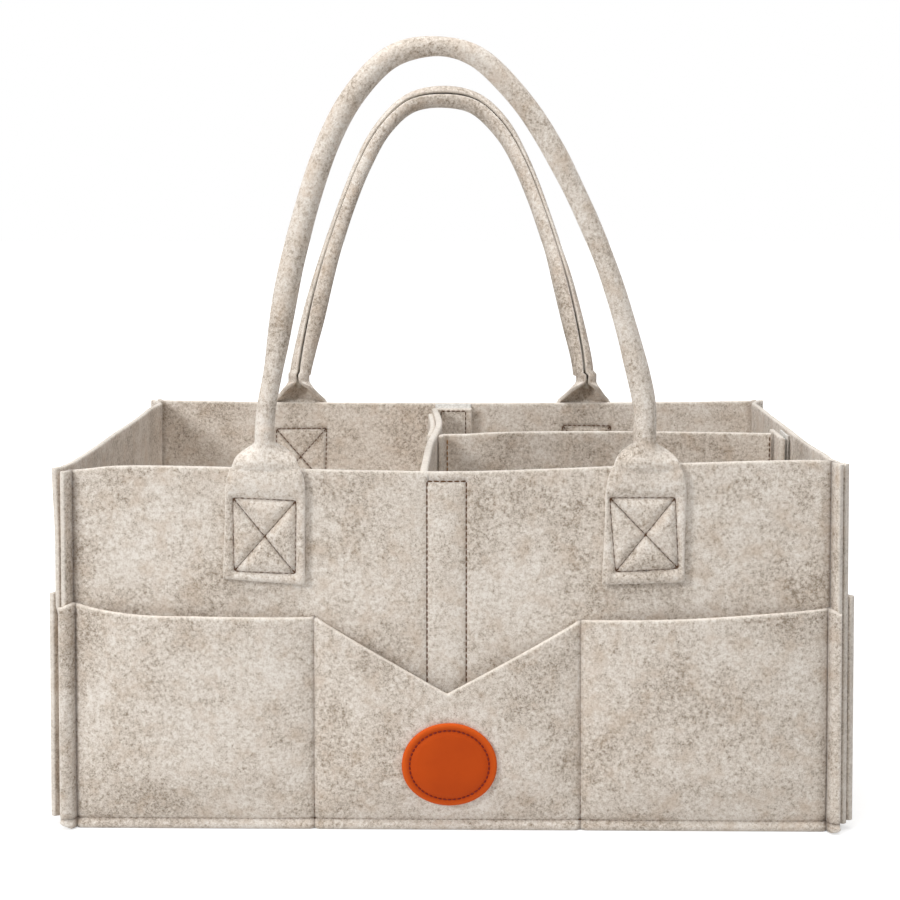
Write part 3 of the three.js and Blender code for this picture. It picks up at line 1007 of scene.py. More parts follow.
def long_sheet(
    name: str, out: int, corners: Sequence[Vector], sewn: "WallSeams | PocketSeams",
    seams: Sequence[float], top: Callable[[Vector], float], **sizes: object,
) -> StandingSheet:
    """A sheet along the front (out -1) or the back (out 1).

    Args:
        name: the name of the node that it stands for.
        out: the side that it is on.
        corners: its line along the front, which is turned round for the back.
        sewn: how its seams shape it and where they lay painted shade.
        seams: where upright seams cross it, as the x of the front.
        top: how high its upper edge stands.
        sizes: the sheet's other sizes.

    Returns:
        The sheet, ready to build.
    """
    line = Line(rounded_line(corners if out < 0 else turned(corners), WALL_BEND))
    return StandingSheet(
        name=f"{name}_felt",
        line=line,
        bottom=lambda p: corner_rise(p.x),
        top=top,
        push=lambda p, z: Vector((0.0, out * sewn.out(p.x, z, out))),
        fine_along=[line.along(lambda p, s=s: -out * p.x - s) for s in seams],
        crease=lambda x, z: sewn.crease(x, z, out),
        **sizes,
    )


@dataclass
class Walls:
    """The four felt walls, whose ends turn out into the corner seams."""

    finishes: Finishes
    wave: float = 0.7
    wave_length: float = 70.0
    pinch: Dent = Dent(1.05, 2.0)
    pinch_y: float = 120.2
    rim_corner: float = 1.2
    tuck: float = 3.4
    tuck_top: tuple[float, float] = (98.0, 14.0)
    bend_y: float = 112.6
    bend_run: float = 12.2
    lip_side: float = 0.87
    wave_foot: tuple[float, float] = (0.0, 60.0)
    wave_end: tuple[float, float] = (-110.0, 20.0)
    front_lean: tuple[float, float] = (-123.0, 11.0)
    back_lean: tuple[float, float] = (-116.0, 30.0)
    corner_rise: tuple[float, float] = (140.0, 35.0)

    def end_push(self, point: Vector, z: float, out: int) -> Vector:
        """How far an end wall's felt waves, leans and is drawn into its corner seams."""
        y = abs(point.y)
        wave = self.wave * ripple(Vector((40.0 * out, point.y, z)), self.wave_length)
        inside = eased(-y, self.wave_end)
        shift = out * wave * eased(z, self.wave_foot) * inside
        leans = self.front_lean if point.y < 0 else self.back_lean
        shift += out * end_lean(z, out) * eased(-y, leans)
        # The corner seam pinches this lip against the long wall's.
        pinch = self.pinch.at(y - self.pinch_y)
        shift -= out * pinch * self.lip_side
        nearer = math.copysign(pinch / 2, point.y)
        if out > 0 or point.y > 0:
            return Vector((shift, nearer))
        # The rim's front left corner stands out, and lower down the pocket's edge covers it.
        shift -= self.rim_corner * eased(z, self.corner_rise) * (1 - inside)
        bent = max(0.0, (y - self.bend_y) / self.bend_run)
        back = self.tuck * bent * (1 - eased(z, self.tuck_top))
        return Vector((shift + back / 2, nearer + back * self.lip_side))

    def flat_wall(self, name: str, out: int, rim: Profile, step: float) -> None:
        """The front or back wall."""
        edge = SIZES.groove_x - WALL.corner_inset
        seams = (-edge, -out * SIZES.strip_left, -out * SIZES.strip_right, edge)
        sheet = long_sheet(name, out, FRONT_LINE, WALL, seams, lambda p: rim.at(p.x),
                           step=step, fine_up=(SIZES.foot_seam, SIZES.strip_top))
        stand(sheet, self.finishes, Body.CADDY)

    def end_wall(self, name: str, out: int, rim: Profile) -> None:
        """An end wall, with the turned edges of both its corner seams."""
        sheet = StandingSheet(
            name=f"{name}_felt",
            line=Line(rounded_line(END_LINE if out > 0 else turned(END_LINE), END_BEND)),
            bottom=lambda p: corner_rise(p.x),
            top=lambda p: rim.at(p.y),
            push=lambda p, z: self.end_push(p, z, out),
        )
        stand(sheet, self.finishes, Body.CADDY)

    def build(self) -> None:
        """Builds all four walls."""
        self.flat_wall("front_panel", -1, FRONT_RIM, 4.0)
        self.flat_wall("back_panel", 1, BACK_RIM, 1.4)
        self.end_wall("right_end_panel", 1, RIGHT_RIM)
        self.end_wall("left_end_panel", -1, LEFT_RIM)


FOOT_CORNER = Profile((
    (180.5, 0.0), (182.6, 0.8), (184.5, 1.8), (187.7, 3.0), (190.0, 3.9), (192.0, 5.0),
))


def corner_rise(x: float) -> float:
    """How high a sheet's lower edge rises where the corner of the foot is rounded, in mm."""
    return FOOT_CORNER.at(abs(x))


# The base

BASE_TOP = Profile((
    (0.0, 5.6), (1.0, 8.0), (2.9, 8.6), (7.9, 6.4), (14.4, 3.7), (20.4, 3.05), (24.0, 3.0),
))
BASE_HALF_X, BASE_HALF_Y, BASE_RIDGE = 179.2, 120.2, 2.9


def base_top(x: float, y: float, reach: float = SIZES.felt) -> float:
    """How high the base's felt lies near a point seen from above, in mm."""
    inset = min(BASE_HALF_X - abs(x), BASE_HALF_Y - abs(y)) - reach
    return BASE_TOP.at(max(inset, BASE_RIDGE))


@dataclass
class Base:
    """The floor: one sheet of felt whose edges turn down into the foot seam."""

    finishes: Finishes
    half_x: float = 179.0
    half_y: float = 119.0
    edge: float = 3.0
    edge_low: float = 1.6
    edge_high: float = 7.1
    lowest: float = 1.55
    wave: float = 0.15
    wave_length: float = 60.0
    step: float = 5.0
    fine: tuple[float, float] = (3.0, 5.0)

    def place(self, across: float, up: float) -> Vector:
        """Where a place on the flat cut lies."""
        x, y = across - self.half_x, up - self.half_y
        inset = min(self.half_x - abs(x), self.half_y - abs(y))
        if inset > self.edge:
            z = BASE_TOP.at(inset) - SIZES.felt / 2
        else:
            z = lerp(self.edge_low, self.edge_high, smooth(inset / self.edge))
        soft = self.wave * ripple(Vector((x, y, 0.0)), self.wave_length)
        return lean(Vector((x, y, max(z + soft, self.lowest))))

    def marks(self, length: float) -> list[float]:
        """The marks along one side of the sheet."""
        return spread_marks(length, self.step, (*self.fine, *(length - f for f in self.fine)))

    def build(self) -> None:
        """Builds the base."""
        sides = self.marks(2 * self.half_x), self.marks(2 * self.half_y)
        piece = Sheet("base_panel_felt", *sides, self.place).build(self.finishes.felt)
        on_body(piece, Body.CADDY, ["base_panel"])


# Pockets

POCKET_GROOVE_X = 180.0
FRONT_POCKET_RIM = Profile((
    (-184.0, 110.2), (-182.5, 111.2), (-180.5, 111.8), (-168.4, 109.4), (-146.8, 107.0),
    (-120.3, 106.6), (-96.2, 106.2), (-66.5, 105.3),
))
V_NOTCH = (-1.5, 69.0, 105.5, 104.1)
V_REACH = 0.6
PUFF_RISE = 30.0
FRONT_POCKET_RIM_RIGHT = Profile((
    (63.0, 104.1), (67.0, 104.4), (119.4, 106.5), (148.0, 108.4), (179.0, 110.3),
    (181.0, 110.2), (184.0, 108.6),
))


def pocket_puff(share: float, z: float, puff: float) -> float:
    """How far a pocket stands away from its wall at a share across and a height, in mm."""
    if not 0 <= share <= 1:
        return 0.0
    return puff * max(0.0, 1 - abs(2 * share - 1) ** 3) * smooth(z / PUFF_RISE)


@dataclass(frozen=True)
class PocketSeams:
    """How each seam pulls a row of pockets in, in mm, and how much painted shade it lays along its
    crease.
    """

    puff: float = 5.5
    corner: Dent = Dent(1.6, 1.4)
    corner_inset: float = 0.6
    # Painted shade at the corner seams: how dark and how wide, and how far in.
    corner_shade: Dent = Dent(1.0, 1.6)
    shade_inset: float = 0.8
    division: Dent = Dent(1.3, 1.3)
    # Painted shade along the pocket divisions.
    division_shade: Dent = Dent(1.0, 1.0)
    foot: Dent = Dent(1.5, 1.4)
    # Painted shade along the foot seam.
    foot_shade: Dent = Dent(0.9, 0.9)
    edge: Dent = Dent(0.9, 1.6)
    edge_z: float = 1.6
    lip: float = 2.8
    wave: float = 0.45
    wave_length: float = 48.0
    wave_rise: float = 40.0
    wave_edge: float = 8.0

    def bulge(self, x: float, z: float) -> float:
        """How far the three pockets in a row stand off their wall."""
        seams = (-POCKET_GROOVE_X, SIZES.left_seam, SIZES.right_seam, POCKET_GROOVE_X)
        for left, right in zip(seams, seams[1:]):
            if left <= x <= right:
                return pocket_puff((x - left) / (right - left), z, self.puff)
        return 0.0

    def out(self, x: float, z: float, out: int) -> float:
        """How far the felt stands off its plane, pulled in at its seams."""
        row_x = -out * x
        puff = self.bulge(row_x, z)
        for seam in (SIZES.left_seam, SIZES.right_seam):
            puff -= self.division.at(row_x - seam)
        puff -= self.corner.at(abs(x) - POCKET_GROOVE_X + self.corner_inset)
        puff -= self.foot.at(z - SIZES.foot_seam)
        puff += self.edge.at(z - self.edge_z)
        puff += lip_bulge(x, POCKET_GROOVE_X, self.lip)
        wave = self.wave * ripple(Vector((x, 70.0 * out, z)), self.wave_length)
        wave *= smooth(z / self.wave_rise)
        return puff + wave * smooth((POCKET_GROOVE_X - abs(x)) / self.wave_edge)

    def crease(self, x: float, z: float, out: int) -> float:
        """How much painted shade a place gets from the seams near it, from 0 to 1."""
        row_x = -out * x
        depth = self.corner_shade.at(abs(x) - POCKET_GROOVE_X + self.shade_inset)
        depth += self.foot_shade.at(z - SIZES.foot_seam)
        for seam in (SIZES.left_seam, SIZES.right_seam):
            depth += self.division_shade.at(row_x - seam)
        return min(depth, 1.0)

    def face(self, x: float, z: float, out: int) -> float:
        """Where the pockets' outer face stands, as a y."""
        return out * (SIZES.panel_y + SIZES.layer + SIZES.felt / 2 + self.out(x, z, out))


POCKET = PocketSeams()


def v_notch(x: float) -> float:
    """The height of the middle pocket's rim, which dips in a V, in mm."""
    tip_x, tip_z, left_z, right_z = V_NOTCH
    if x < tip_x:
        return lerp(tip_z, left_z, (tip_x - x) / (tip_x - SIZES.left_seam))
    return lerp(tip_z, right_z, (x - tip_x) / (SIZES.right_seam - tip_x))


def front_pocket_top(point: Vector) -> float:
    """The height of the front pockets' rim, in mm."""
    if point.x <= SIZES.left_seam - V_REACH:
        return FRONT_POCKET_RIM.at(point.x)
    if point.x >= SIZES.right_seam + V_REACH:
        return FRONT_POCKET_RIM_RIGHT.at(point.x)
    return v_notch(min(max(point.x, SIZES.left_seam), SIZES.right_seam))


@dataclass
class Pockets:
    """The pocket sheets: three pockets in front and behind, and one on each end."""

    finishes: Finishes
    end_height: float = 112.0
    end_dip: float = 8.0
    end_puff: float = 5.5
    end_foot: Dent = Dent(1.0, 1.4)
    end_wave: float = 0.4
    end_proud: float = 0.5
    flat_fade: tuple[float, float] = (-2.0, 4.0)
    lean_fade: tuple[float, float] = (0.0, 11.0)
    tip_rise: float = 4.0
    tip_span: tuple[float, float] = (0.0, 9.0)
    nominal: float = 107.0
    step: float = 3.6
    back_height: float = 106.0
    back_rise: float = 6.0
    back_reach: float = 181.6

    def back_top(self, point: Vector) -> float:
        """The height of the back pockets' rim, in mm."""
        return self.back_height + self.back_rise * min(1, abs(point.x) / self.back_reach) ** 2

    def row(self, name: str, out: int, top: Callable[[Vector], float]) -> None:
        """Three pockets in a row across the front or the back."""
        edge = POCKET_GROOVE_X - POCKET.corner_inset
        seams = (-edge, SIZES.left_seam, V_NOTCH[0], SIZES.right_seam, edge)
        sheet = long_sheet(name, out, POCKET_LINE, POCKET, seams, top,
                           step=self.step, fine_up=(SIZES.foot_seam,), nominal=self.nominal)
        stand(sheet, self.finishes, Body.CADDY)

    def end(self, name: str, out: int) -> None:
        """The pocket on an end wall."""
        tip, start, end = offset_line(END_LINE, SIZES.layer)[:3]
        tip = tip + (tip - start).normalized() * self.end_proud
        bend_y = abs(start.y)
        points = [tip, start, end, Vector((tip.x, -tip.y))]

        def top(point: Vector) -> float:
            """The height of the pocket's rim."""
            share = min(1.0, abs(point.y) / bend_y)
            tip_rise = self.tip_rise * eased(abs(point.y) - bend_y, self.tip_span)
            return self.end_height + self.end_dip * (share ** 2 - 1) + tip_rise

        def push(point: Vector, z: float) -> Vector:
            """How far the felt stands off its wall."""
            share = (point.y * out + bend_y) / (2 * bend_y)
            flat = 1 - eased(abs(point.y) - bend_y, self.flat_fade)
            puff = pocket_puff(share, z, self.end_puff) * flat
            wave = self.end_wave * ripple(Vector((70.0 * out, point.y, z)), POCKET.wave_length)
            puff += wave * flat * smooth(z / POCKET.wave_rise)
            puff -= self.end_foot.at(z - SIZES.foot_seam) * flat
            puff += end_lean(z, out) * (1 - eased(abs(point.y) - bend_y, self.lean_fade))
            return Vector((out * puff, 0.0))

        sheet = StandingSheet(
            name=f"{name}_felt",
            line=Line(rounded_line(points if out > 0 else turned(points), END_BEND)),
            bottom=lambda p: corner_rise(p.x) if abs(p.y) > bend_y else 0.0,
            top=top,
            push=push,
            step=self.step,
            fine_up=(SIZES.foot_seam,),
            nominal=self.nominal,
        )
        stand(sheet, self.finishes, Body.CADDY)

    def build(self) -> None:
        """Builds every pocket."""
        self.row("front_pocket_panel", -1, front_pocket_top)
        self.row("back_pocket_panel", 1, self.back_top)
        self.end("right_pocket_panel", 1)
        self.end("left_pocket_panel", -1)


# The badge


@dataclass
class Badge:
    """A plain oval of leather sewn to the middle pocket, pressed down by its stitching."""

    finishes: Finishes
    width: float = 45.8
    height: float = 42.1
    thickness: float = 2.0
    x: float = -0.4
    z: float = 34.3
    sewn_share: float = 0.835
    sewn_depth: float = 0.78
    cut_share: float = 0.8
    cut_rise: tuple[float, float] = (0.86, 0.1)
    sides: int = 96
    section: tuple[tuple[float, float], ...] = (
        (0.1, 1.0), (0.3, 1.0), (0.5, 1.0), (0.68, 0.99), (0.77, 0.93), (0.81, 0.78),
        (0.835, 0.66), (0.86, 0.78), (0.90, 0.93), (0.95, 0.92), (0.98, 0.8), (1.0, 0.55),
        (1.0, 0.2), (0.985, 0.0), (0.6, 0.0), (0.2, 0.0),
    )

    def face(self, x: float, z: float) -> float:
        """Where the felt behind the badge stands, as a y in mm."""
        return POCKET.face(x, z, -1) - SIZES.gap

    def ring(self, share: float, depth: float) -> list[Vector]:
        """Points round the oval at a share of its size and a height over the felt, in mm."""
        points = []
        for i in range(self.sides):
            angle = math.tau * i / self.sides
            x = self.x + share * self.width / 2 * math.cos(angle)
            z = self.z + share * self.height / 2 * math.sin(angle)
            points.append(Vector((x, self.face(x, z) - depth, z)))
        return points

    def build(self) -> None:
        """Builds the badge and its stitching."""
        rings = [self.ring(share, depth * self.thickness) for share, depth in self.section]
        cut = [self.cut_share * eased(share, self.cut_rise) for share, _ in self.section]
        piece = piece_from("leather_badge", skin(rings, cut), self.finishes.leather)
        on_body(piece, Body.CADDY, ["badge"])
        seam = Stitching("badge_stitching", Body.CADDY, self.finishes.red_thread,
                         pitch=2.3, gap=0.35, thread=0.8)
        seam.run(self.ring(self.sewn_share, self.sewn_depth * self.thickness), closed=True)
        seam.sew()


# Handles

FULL_ROLL, FLAT_ROLL = 6.02, 0.01


@dataclass(frozen=True)
class Station:
    """A place along a handle's strip of felt, with how wide and how rolled it is there."""

    middle: Vector
    across: Vector
    inward: Vector
    width: float
    roll: float
    twist: float = 0.0

    def at(self, share: float) -> Vector:
        """The place at a share across the strip, from -0.5 to 0.5."""
        if self.roll < FLAT_ROLL:
            return self.middle + self.across * (share * self.width)
        radius = self.width / self.roll
        turn = self.roll * share + self.twist
        level = radius * math.cos(self.twist)
        return (
            self.middle
            + self.across * (radius * (math.sin(turn) - math.sin(self.twist)))
            + self.inward * (level - radius * math.cos(turn))
        )


def roll_for(width: float, chord: float) -> float:
    """How far a strip is rolled up when it looks only this wide, in radians."""
    low, high = 0.0, FULL_ROLL
    for _ in range(30):
        roll = (low + high) / 2
        seen = width * math.sin(roll / 2) / (roll / 2) if roll < math.pi else 2 * width / roll
        low, high = (roll, high) if seen > chord else (low, roll)
    return low


# By height: how wide the strip is, and how wide it looks once it is rolled up, which over
# the sewn tab is the same.
GRIP_WIDTH = 25.0
TAB_WIDTH = (
    (122.0, 39.4), (135.0, 38.8), (150.0, 38.3), (164.0, 38.3), (167.0, 38.1), (170.0, 37.5),
    (173.0, 36.4),
)
NECK_WIDTH = Profile((
    *TAB_WIDTH, (176.3, 34.2), (178.4, 31.8), (181.0, 29.9), (182.9, 28.4), (185.0, 27.0),
    (187.0, 26.0), (188.5, 25.4), (190.0, GRIP_WIDTH), (400.0, GRIP_WIDTH),
))
FRONT_CHORD = Profile((
    *TAB_WIDTH, (176.3, 34.2), (178.4, 31.6), (181.0, 29.2), (182.9, 26.0), (185.0, 19.6),
    (187.0, 12.6), (188.5, 9.8), (189.6, 8.6), (192.0, 8.3), (400.0, 8.3),
))
BACK_CHORD = Profile((
    *TAB_WIDTH, (176.3, 34.1), (178.5, 31.0), (182.4, 23.3), (187.0, 13.3), (190.0, 8.8),
    (192.0, 8.3), (400.0, 8.3),
))


@dataclass(frozen=True)
class Arch:
    """Where a rolled grip runs: its feet, its lean and its legs, as shares of half the spacing."""

    x: float
    spacing: float
    tilt: float
    left: tuple[float, ...]
    right: tuple[float, ...]
    top: float
    height: float = 178.7
    up: tuple[float, ...] = (-0.05, 0.0, 0.06, 0.155, 0.448, 0.755, 0.89, 0.977)
    pieces: int = 40

    def line(self, step: float) -> list[Vector]:
        """The centre line over the hinge, in its own upright plane."""
        left = [(-across, up) for across, up in zip(self.left, self.up)]
        right = [(across, up) for across, up in zip(self.right, self.up)]
        knots = [Vector((self.x + across * self.spacing / 2, up * self.height))
                 for across, up in (*left, (self.top, 1.0), *reversed(right))]
        fine = []
        padded = [2 * knots[0] - knots[1], *knots, 2 * knots[-1] - knots[-2]]
        for a, b, c, d in zip(padded, padded[1:], padded[2:], padded[3:]):
            times = [0.0]
            for start, end in ((a, b), (b, c), (c, d)):
                times.append(times[-1] + math.sqrt((end - start).length))
            for k in range(self.pieces):
                time = lerp(times[1], times[2], k / self.pieces)
                fine.append(self.spline((a, b, c, d), times, time))
        line = Line([point for point in fine if point.y > 0])
        count = round(line.length / step)
        return [line.at(line.length * k / count) for k in range(count + 1)]

    @staticmethod
    def spline(points: Sequence[Vector], times: Sequence[float], time: float) -> Vector:
        """A smooth curve through four points, at a time between the middle two."""
        level = list(points)
        for size in (1, 2, 3):
            spans = []
            for i in range(len(level) - 1):
                start = times[i] if size < 3 else times[1]
                end = times[i + size] if size < 3 else times[2]
                spans.append(level[i].lerp(level[i + 1], (time - start) / (end - start)))
            level = spans
        return level[0]


@dataclass
class Handle:
    """A carrying handle: one strip of felt, flat and sewn on at both ends and rolled between."""

    finishes: Finishes
    name: str
    body: Body
    out: int
    shape: Arch
    tabs: dict[str, Tab]
    chord: Profile
    fullness: Profile
    twist: Profile
    hinge_z: float = 196.0
    face_y: float = 125.1
    rolled_radius: float = 4.153
    felt: float = 2.6
    tab_width: float = 40.0
    tab_bottom: float = 122.5
    bulge: float = 1.8
    rim_z: float = 178.0
    lean_span: float = 55.0
    lean_fade: tuple[float, float] = (180.0, 12.0)
    lift_fade: tuple[float, float] = (170.0, 12.0)
    full_rise: tuple[float, float] = (182.0, 10.0)
    twist_rise: tuple[float, float] = (186.0, 10.0)
    bulge_fade: tuple[float, float] = (178.0, 12.0)
    tilt_rise: tuple[float, float] = (-7.0, 20.0)
    slope_span: float = 30.0
    box_points: int = 16
    tab_step: float = 0.8
    tab_top: float = 169.5
    grip_step: float = 2.6
    crumple: float = 0.15
    crumple_length: float = 17.0
    swelling: float = 0.02
    swelling_length: float = 22.0
    neck_z: float = 186.0
    core_step: float = 2.0
    swell: float = 1.5
    swell_dent: Dent = Dent(1.0, 2.6)
    edge_dent: Dent = Dent(0.7, 2.2)
    seam_dent: Dent = Dent(1.1, 1.2)
    # Painted shade along the tab's stitches.
    seam_crease: Dent = Dent(0.7, 0.9)
    cord_radius: float = 2.4
    cord_end_radius: float = 2.2
    cord_end: tuple[float, float] = (186.5, 6.4)
    cord_sides: int = 24
    strands: int = 3
    strand_depth: float = 0.1
    lay: float = 16.0
    knot: tuple[tuple[float, float], ...] = ((2.2, 0.3), (-1.6, 0.5), (1.3, -0.9), (0.4, 1.5))
    knot_step: float = 0.15

    @property
    def hub(self) -> Vector:
        """The middle of the grip's cord at the hinge."""
        return Vector((0, self.out * (self.face_y - self.rolled_radius), self.hinge_z))

    def tab_x(self, hand: str, z: float) -> float:
        """The middle of a tab at a height, in mm."""
        sign = -1 if hand == "left" else 1
        tab = self.tabs[hand]
        share = eased(z, (self.tab_bottom, self.lean_span))
        shift = lerp(tab.lean_bottom, tab.lean_top, share) * (1 - eased(z, self.lean_fade))
        return self.shape.x + sign * self.shape.spacing / 2 + shift

    def tab_lift(self, tab: Tab, x: float, z: float, inset: float = 9.0) -> float:
        """How far a tab's felt stands off its plane: up between seams and edge, in at them."""
        near = tab.nearest(x, z)
        swell = self.swell * (1 - self.swell_dent.at(near)) * (1 - self.edge_dent.at(inset))
        lift = swell - self.seam_dent.at(near) + WALL.waving(x, z, self.out)
        return lift * (1 - eased(z, self.lift_fade))

    def tab_stations(self, hand: str) -> list[Station]:
        """The strip's stations from a tab's lower edge up to the hinge."""
        step, top = self.tab_step, self.tab_top
        # The marks are close together at the lower edge only.
        marks = [self.tab_bottom + m for m in spread_marks(90.0, step)]
        marks = [z for z in marks if z < top - 1]
        marks += [top + step * k for k in range(int((self.hinge_z - top) / step))]
        end, sign = (0.0, 1) if hand == "left" else (1.0, -1)
        across, inward = Vector((sign, 0, 0)), Vector((0, -self.out, 0))
        stations = []
        for z in marks:
            fullness = lerp(1.0, self.fullness.at(end), eased(z, self.full_rise))
            width = NECK_WIDTH.at(z) * fullness
            roll = roll_for(width, self.chord.at(z) * fullness)
            twist = self.twist.at(end) * eased(z, self.twist_rise)
            middle = Vector((self.tab_x(hand, z), self.out * self.face_y, z))
            if roll > FLAT_ROLL:
                radius = width / roll
                sag = radius * (1 - math.cos(min(roll, math.pi) / 2))
                bulge = min(max(sag - 0.5, 0.0), self.bulge)
                middle -= inward * (bulge * (1 - eased(z, self.bulge_fade)))
                middle += across * (radius * math.sin(twist))
                middle += inward * (radius * (1 - math.cos(twist)))
            stations.append(Station(middle, across, inward, width, roll, twist))
        return stations

    def arch_stations(self) -> list[Station]:
        """The rolled strip's stations over the arch, leaning as the handle does."""
        points = self.shape.line(self.grip_step)
        stations = []
        for i, point in enumerate(points):
            before, after = points[max(i - 1, 0)], points[min(i + 1, len(points) - 1)]
            run = (after - before).normalized()
            share = i / (len(points) - 1)
            tilt = math.radians(self.shape.tilt) * eased(point.y, self.tilt_rise)
            lean_out = Matrix.Rotation(-self.out * tilt, 3, "X")
            across = lean_out @ Vector((run.y, 0, -run.x))
            inward = lean_out @ Vector((0, -self.out, 0))
            centre = lean_out @ Vector((point.x, 0, point.y))
            beside = Vector((point.x, self.out * 30.0, point.y))
            crumple = self.crumple * ripple(beside, self.crumple_length)
            width = GRIP_WIDTH * self.fullness.at(share)
            width *= 1 + self.swelling * ripple(centre, self.swelling_length)
            twist = self.twist.at(share)
            radius = width / FULL_ROLL
            middle = self.hub + centre + inward * (crumple - radius * math.cos(twist))
            middle += across * (radius * math.sin(twist))
            stations.append(Station(middle, across, inward, width, FULL_ROLL, twist))
        return stations

    def build(self) -> None:
        """Builds the strip, its core, the core's ends and all its stitching."""
        right = self.tab_stations("right")
        stations = [*self.tab_stations("left"), *self.arch_stations(), *reversed(right)]
        marks = [0.0]
        for start, end in zip(stations, stations[1:]):
            marks.append(marks[-1] + (end.middle - start.middle).length)
        by_mark = dict(zip(marks, stations))
        half = marks[-1] / 2

        def place(across: float, up: float) -> Vector:
            """Where a place on the flat strip lies."""
            station = by_mark[up]
            where = station.at(across / self.tab_width - 0.5)
            if station.middle.z < self.neck_z:
                tab = self.tabs["left" if up < half else "right"]
                low = 1 - eased(station.middle.z, (self.tab_bottom, self.slope_span))
                where.z += (where.x - station.middle.x) * tab.bottom_slope * low
                inset = min(station.middle.z - self.tab_bottom,
                            (0.5 - abs(across / self.tab_width - 0.5)) * station.width)
                where.y += self.out * self.tab_lift(tab, where.x, where.z, inset)
            return where

        def crease(across: float, up: float) -> float:
            """How much painted shade a place on the flat strip gets from a tab's seams."""
            station = by_mark[up]
            if station.middle.z > self.rim_z:
                return 0.0
            where = place(across, up)
            tab = self.tabs["left" if up < half else "right"]
            return self.seam_crease.at(tab.nearest(where.x, where.z))

        strip = Sheet(
            name=f"{self.name}_felt",
            across=spread_marks(self.tab_width, self.tab_step),
            up=marks,
            place=place,
            thickness=self.felt,
            crease=crease,
        )
        piece = strip.build(self.finishes.felt)
        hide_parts(f"{self.name}_grip", *(
            f"{self.name.split('_')[0]}_{hand}_handle_tab" for hand in ("left", "right")))
        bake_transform(piece)
        self.build_core()
        self.build_stitches()

    def rope(self, name: str, points: Sequence[Vector], radius: float) -> Object:
        """A three-strand cord along a line.

        Args:
            name: the piece's name.
            points: the line, in mm.
            radius: the cord's radius, in mm.

        Returns:
            The closed piece.
        """
        rings, along = [], 0.0
        for i, point in enumerate(points):
            before, after = points[max(i - 1, 0)], points[min(i + 1, len(points) - 1)]
            along += (point - before).length
            run = (after - before).normalized()
            side = run.cross(Vector((0, 1, 0))).normalized()
            other, lay = run.cross(side), along / self.lay * math.tau
            ring = []
            for angle in (math.tau * k / self.cord_sides for k in range(self.cord_sides)):
                wave = self.strand_depth * math.cos(self.strands * (angle + lay))
                reach = radius * (1 - self.strand_depth + wave)
                ring.append(point + reach * (math.cos(angle) * side + math.sin(angle) * other))
            rings.append(ring)
        return piece_from(name, skin(rings), self.finishes.cord)

    def build_core(self) -> None:
        """Builds the cord inside the grip and its two ends in the throats."""
        hub = self.hub
        lean_out = Matrix.Rotation(-self.out * math.radians(self.shape.tilt), 3, "X")
        points = [hub + lean_out @ Vector((p.x, 0, p.y)) for p in self.shape.line(self.core_step)]
        core = self.rope(f"{self.name}_cord", points, self.cord_radius)
        on_body(core, self.body, [f"{self.name}_core"])
        side = self.name.split("_")[0]
        for hand, sign in (("left", -1), ("right", 1)):
            x = self.shape.x + sign * self.shape.spacing / 2
            low, rise = self.cord_end
            steps = 8
            line = [Vector((x, hub.y, low + rise * k / steps)) for k in range(steps + 1)]
            end = self.rope(f"{side}_{hand}_cord_end", line, self.cord_end_radius)
            on_body(end, Body.CADDY, [f"{side}_{hand}_core_end"])

    def inner_y(self, x: float, z: float) -> float:
        """Where the inner face of the wall behind a tab stands, as a y in mm."""
        return WALL.face(x, z, self.out) - self.out * (SIZES.felt + 0.1)

    def build_stitches(self) -> None:
        """Sews the box and cross on each tab, outside and on the inner face of the wall."""
        thread = self.finishes.brown_thread
        outer = Stitching(f"{self.name}_tab_stitching", Body.CADDY, thread, gap=0.55, thread=0.85)
        inner = Stitching(f"{self.name}_inner_stitching", Body.CADDY, thread, gap=0.6, thread=0.7)
        golden = self.finishes.golden_thread
        knots = Stitching(f"{self.name}_knots", Body.CADDY, golden, thread=0.8)
        for tab in self.tabs.values():
            for start, end in tab.seams():
                outside, inside = [], []
                for k in range(self.box_points + 1):
                    x, z = start.lerp(end, k / self.box_points)
                    y = self.face_y + self.tab_lift(tab, x, z) + self.felt / 2 + 0.1
                    outside.append(Vector((x, self.out * y, z)))
                    inside.append(Vector((x, self.inner_y(x, z), z)))
                outer.run(outside)
                inner.run(inside)
            for corner in (tab.box[0], tab.box[1]):
                for k, (dx, dz) in enumerate(self.knot):
                    y = self.inner_y(*corner) - self.out * self.knot_step * (k + 1)
                    deeper = y - self.out * 2 * self.knot_step
                    knots.stitch(
                        Vector((corner[0] - dx / 2, y, corner[1] - dz / 2)),
                        Vector((corner[0] + dx, deeper, corner[1] + dz)),
                    )
        outer.sew()
        inner.sew()
        knots.sew()


def front_handle(finishes: Finishes) -> Handle:
    """The front handle, upright, with its tabs as the picture shows them."""
    shape = Arch(
        1.8, 180.8, 0.0,
        left=(1.0, 1.0, 0.987, 0.95, 0.841, 0.65, 0.496, 0.31),
        right=(1.0, 1.0, 0.997, 0.958, 0.779, 0.487, 0.295, 0.1),
        top=-0.092,
    )
    fullness = Profile((
        (0.0, 0.80), (0.065, 0.78), (0.1, 0.97), (0.145, 1.09), (0.19, 1.09), (0.24, 1.03),
        (0.32, 0.98), (0.42, 0.98), (0.46, 0.92), (0.5, 0.76), (0.54, 0.9), (0.6, 0.92),
        (0.68, 0.95), (0.73, 0.88), (0.82, 0.86), (0.89, 0.93), (0.935, 1.03), (1.0, 1.0),
    ))
    straight = Profile(((0.0, 0.0), (1.0, 0.0)))
    return Handle(finishes, "front_handle", Body.FRONT_HANDLE, -1, shape, FRONT_TABS,
                  FRONT_CHORD, fullness, straight)


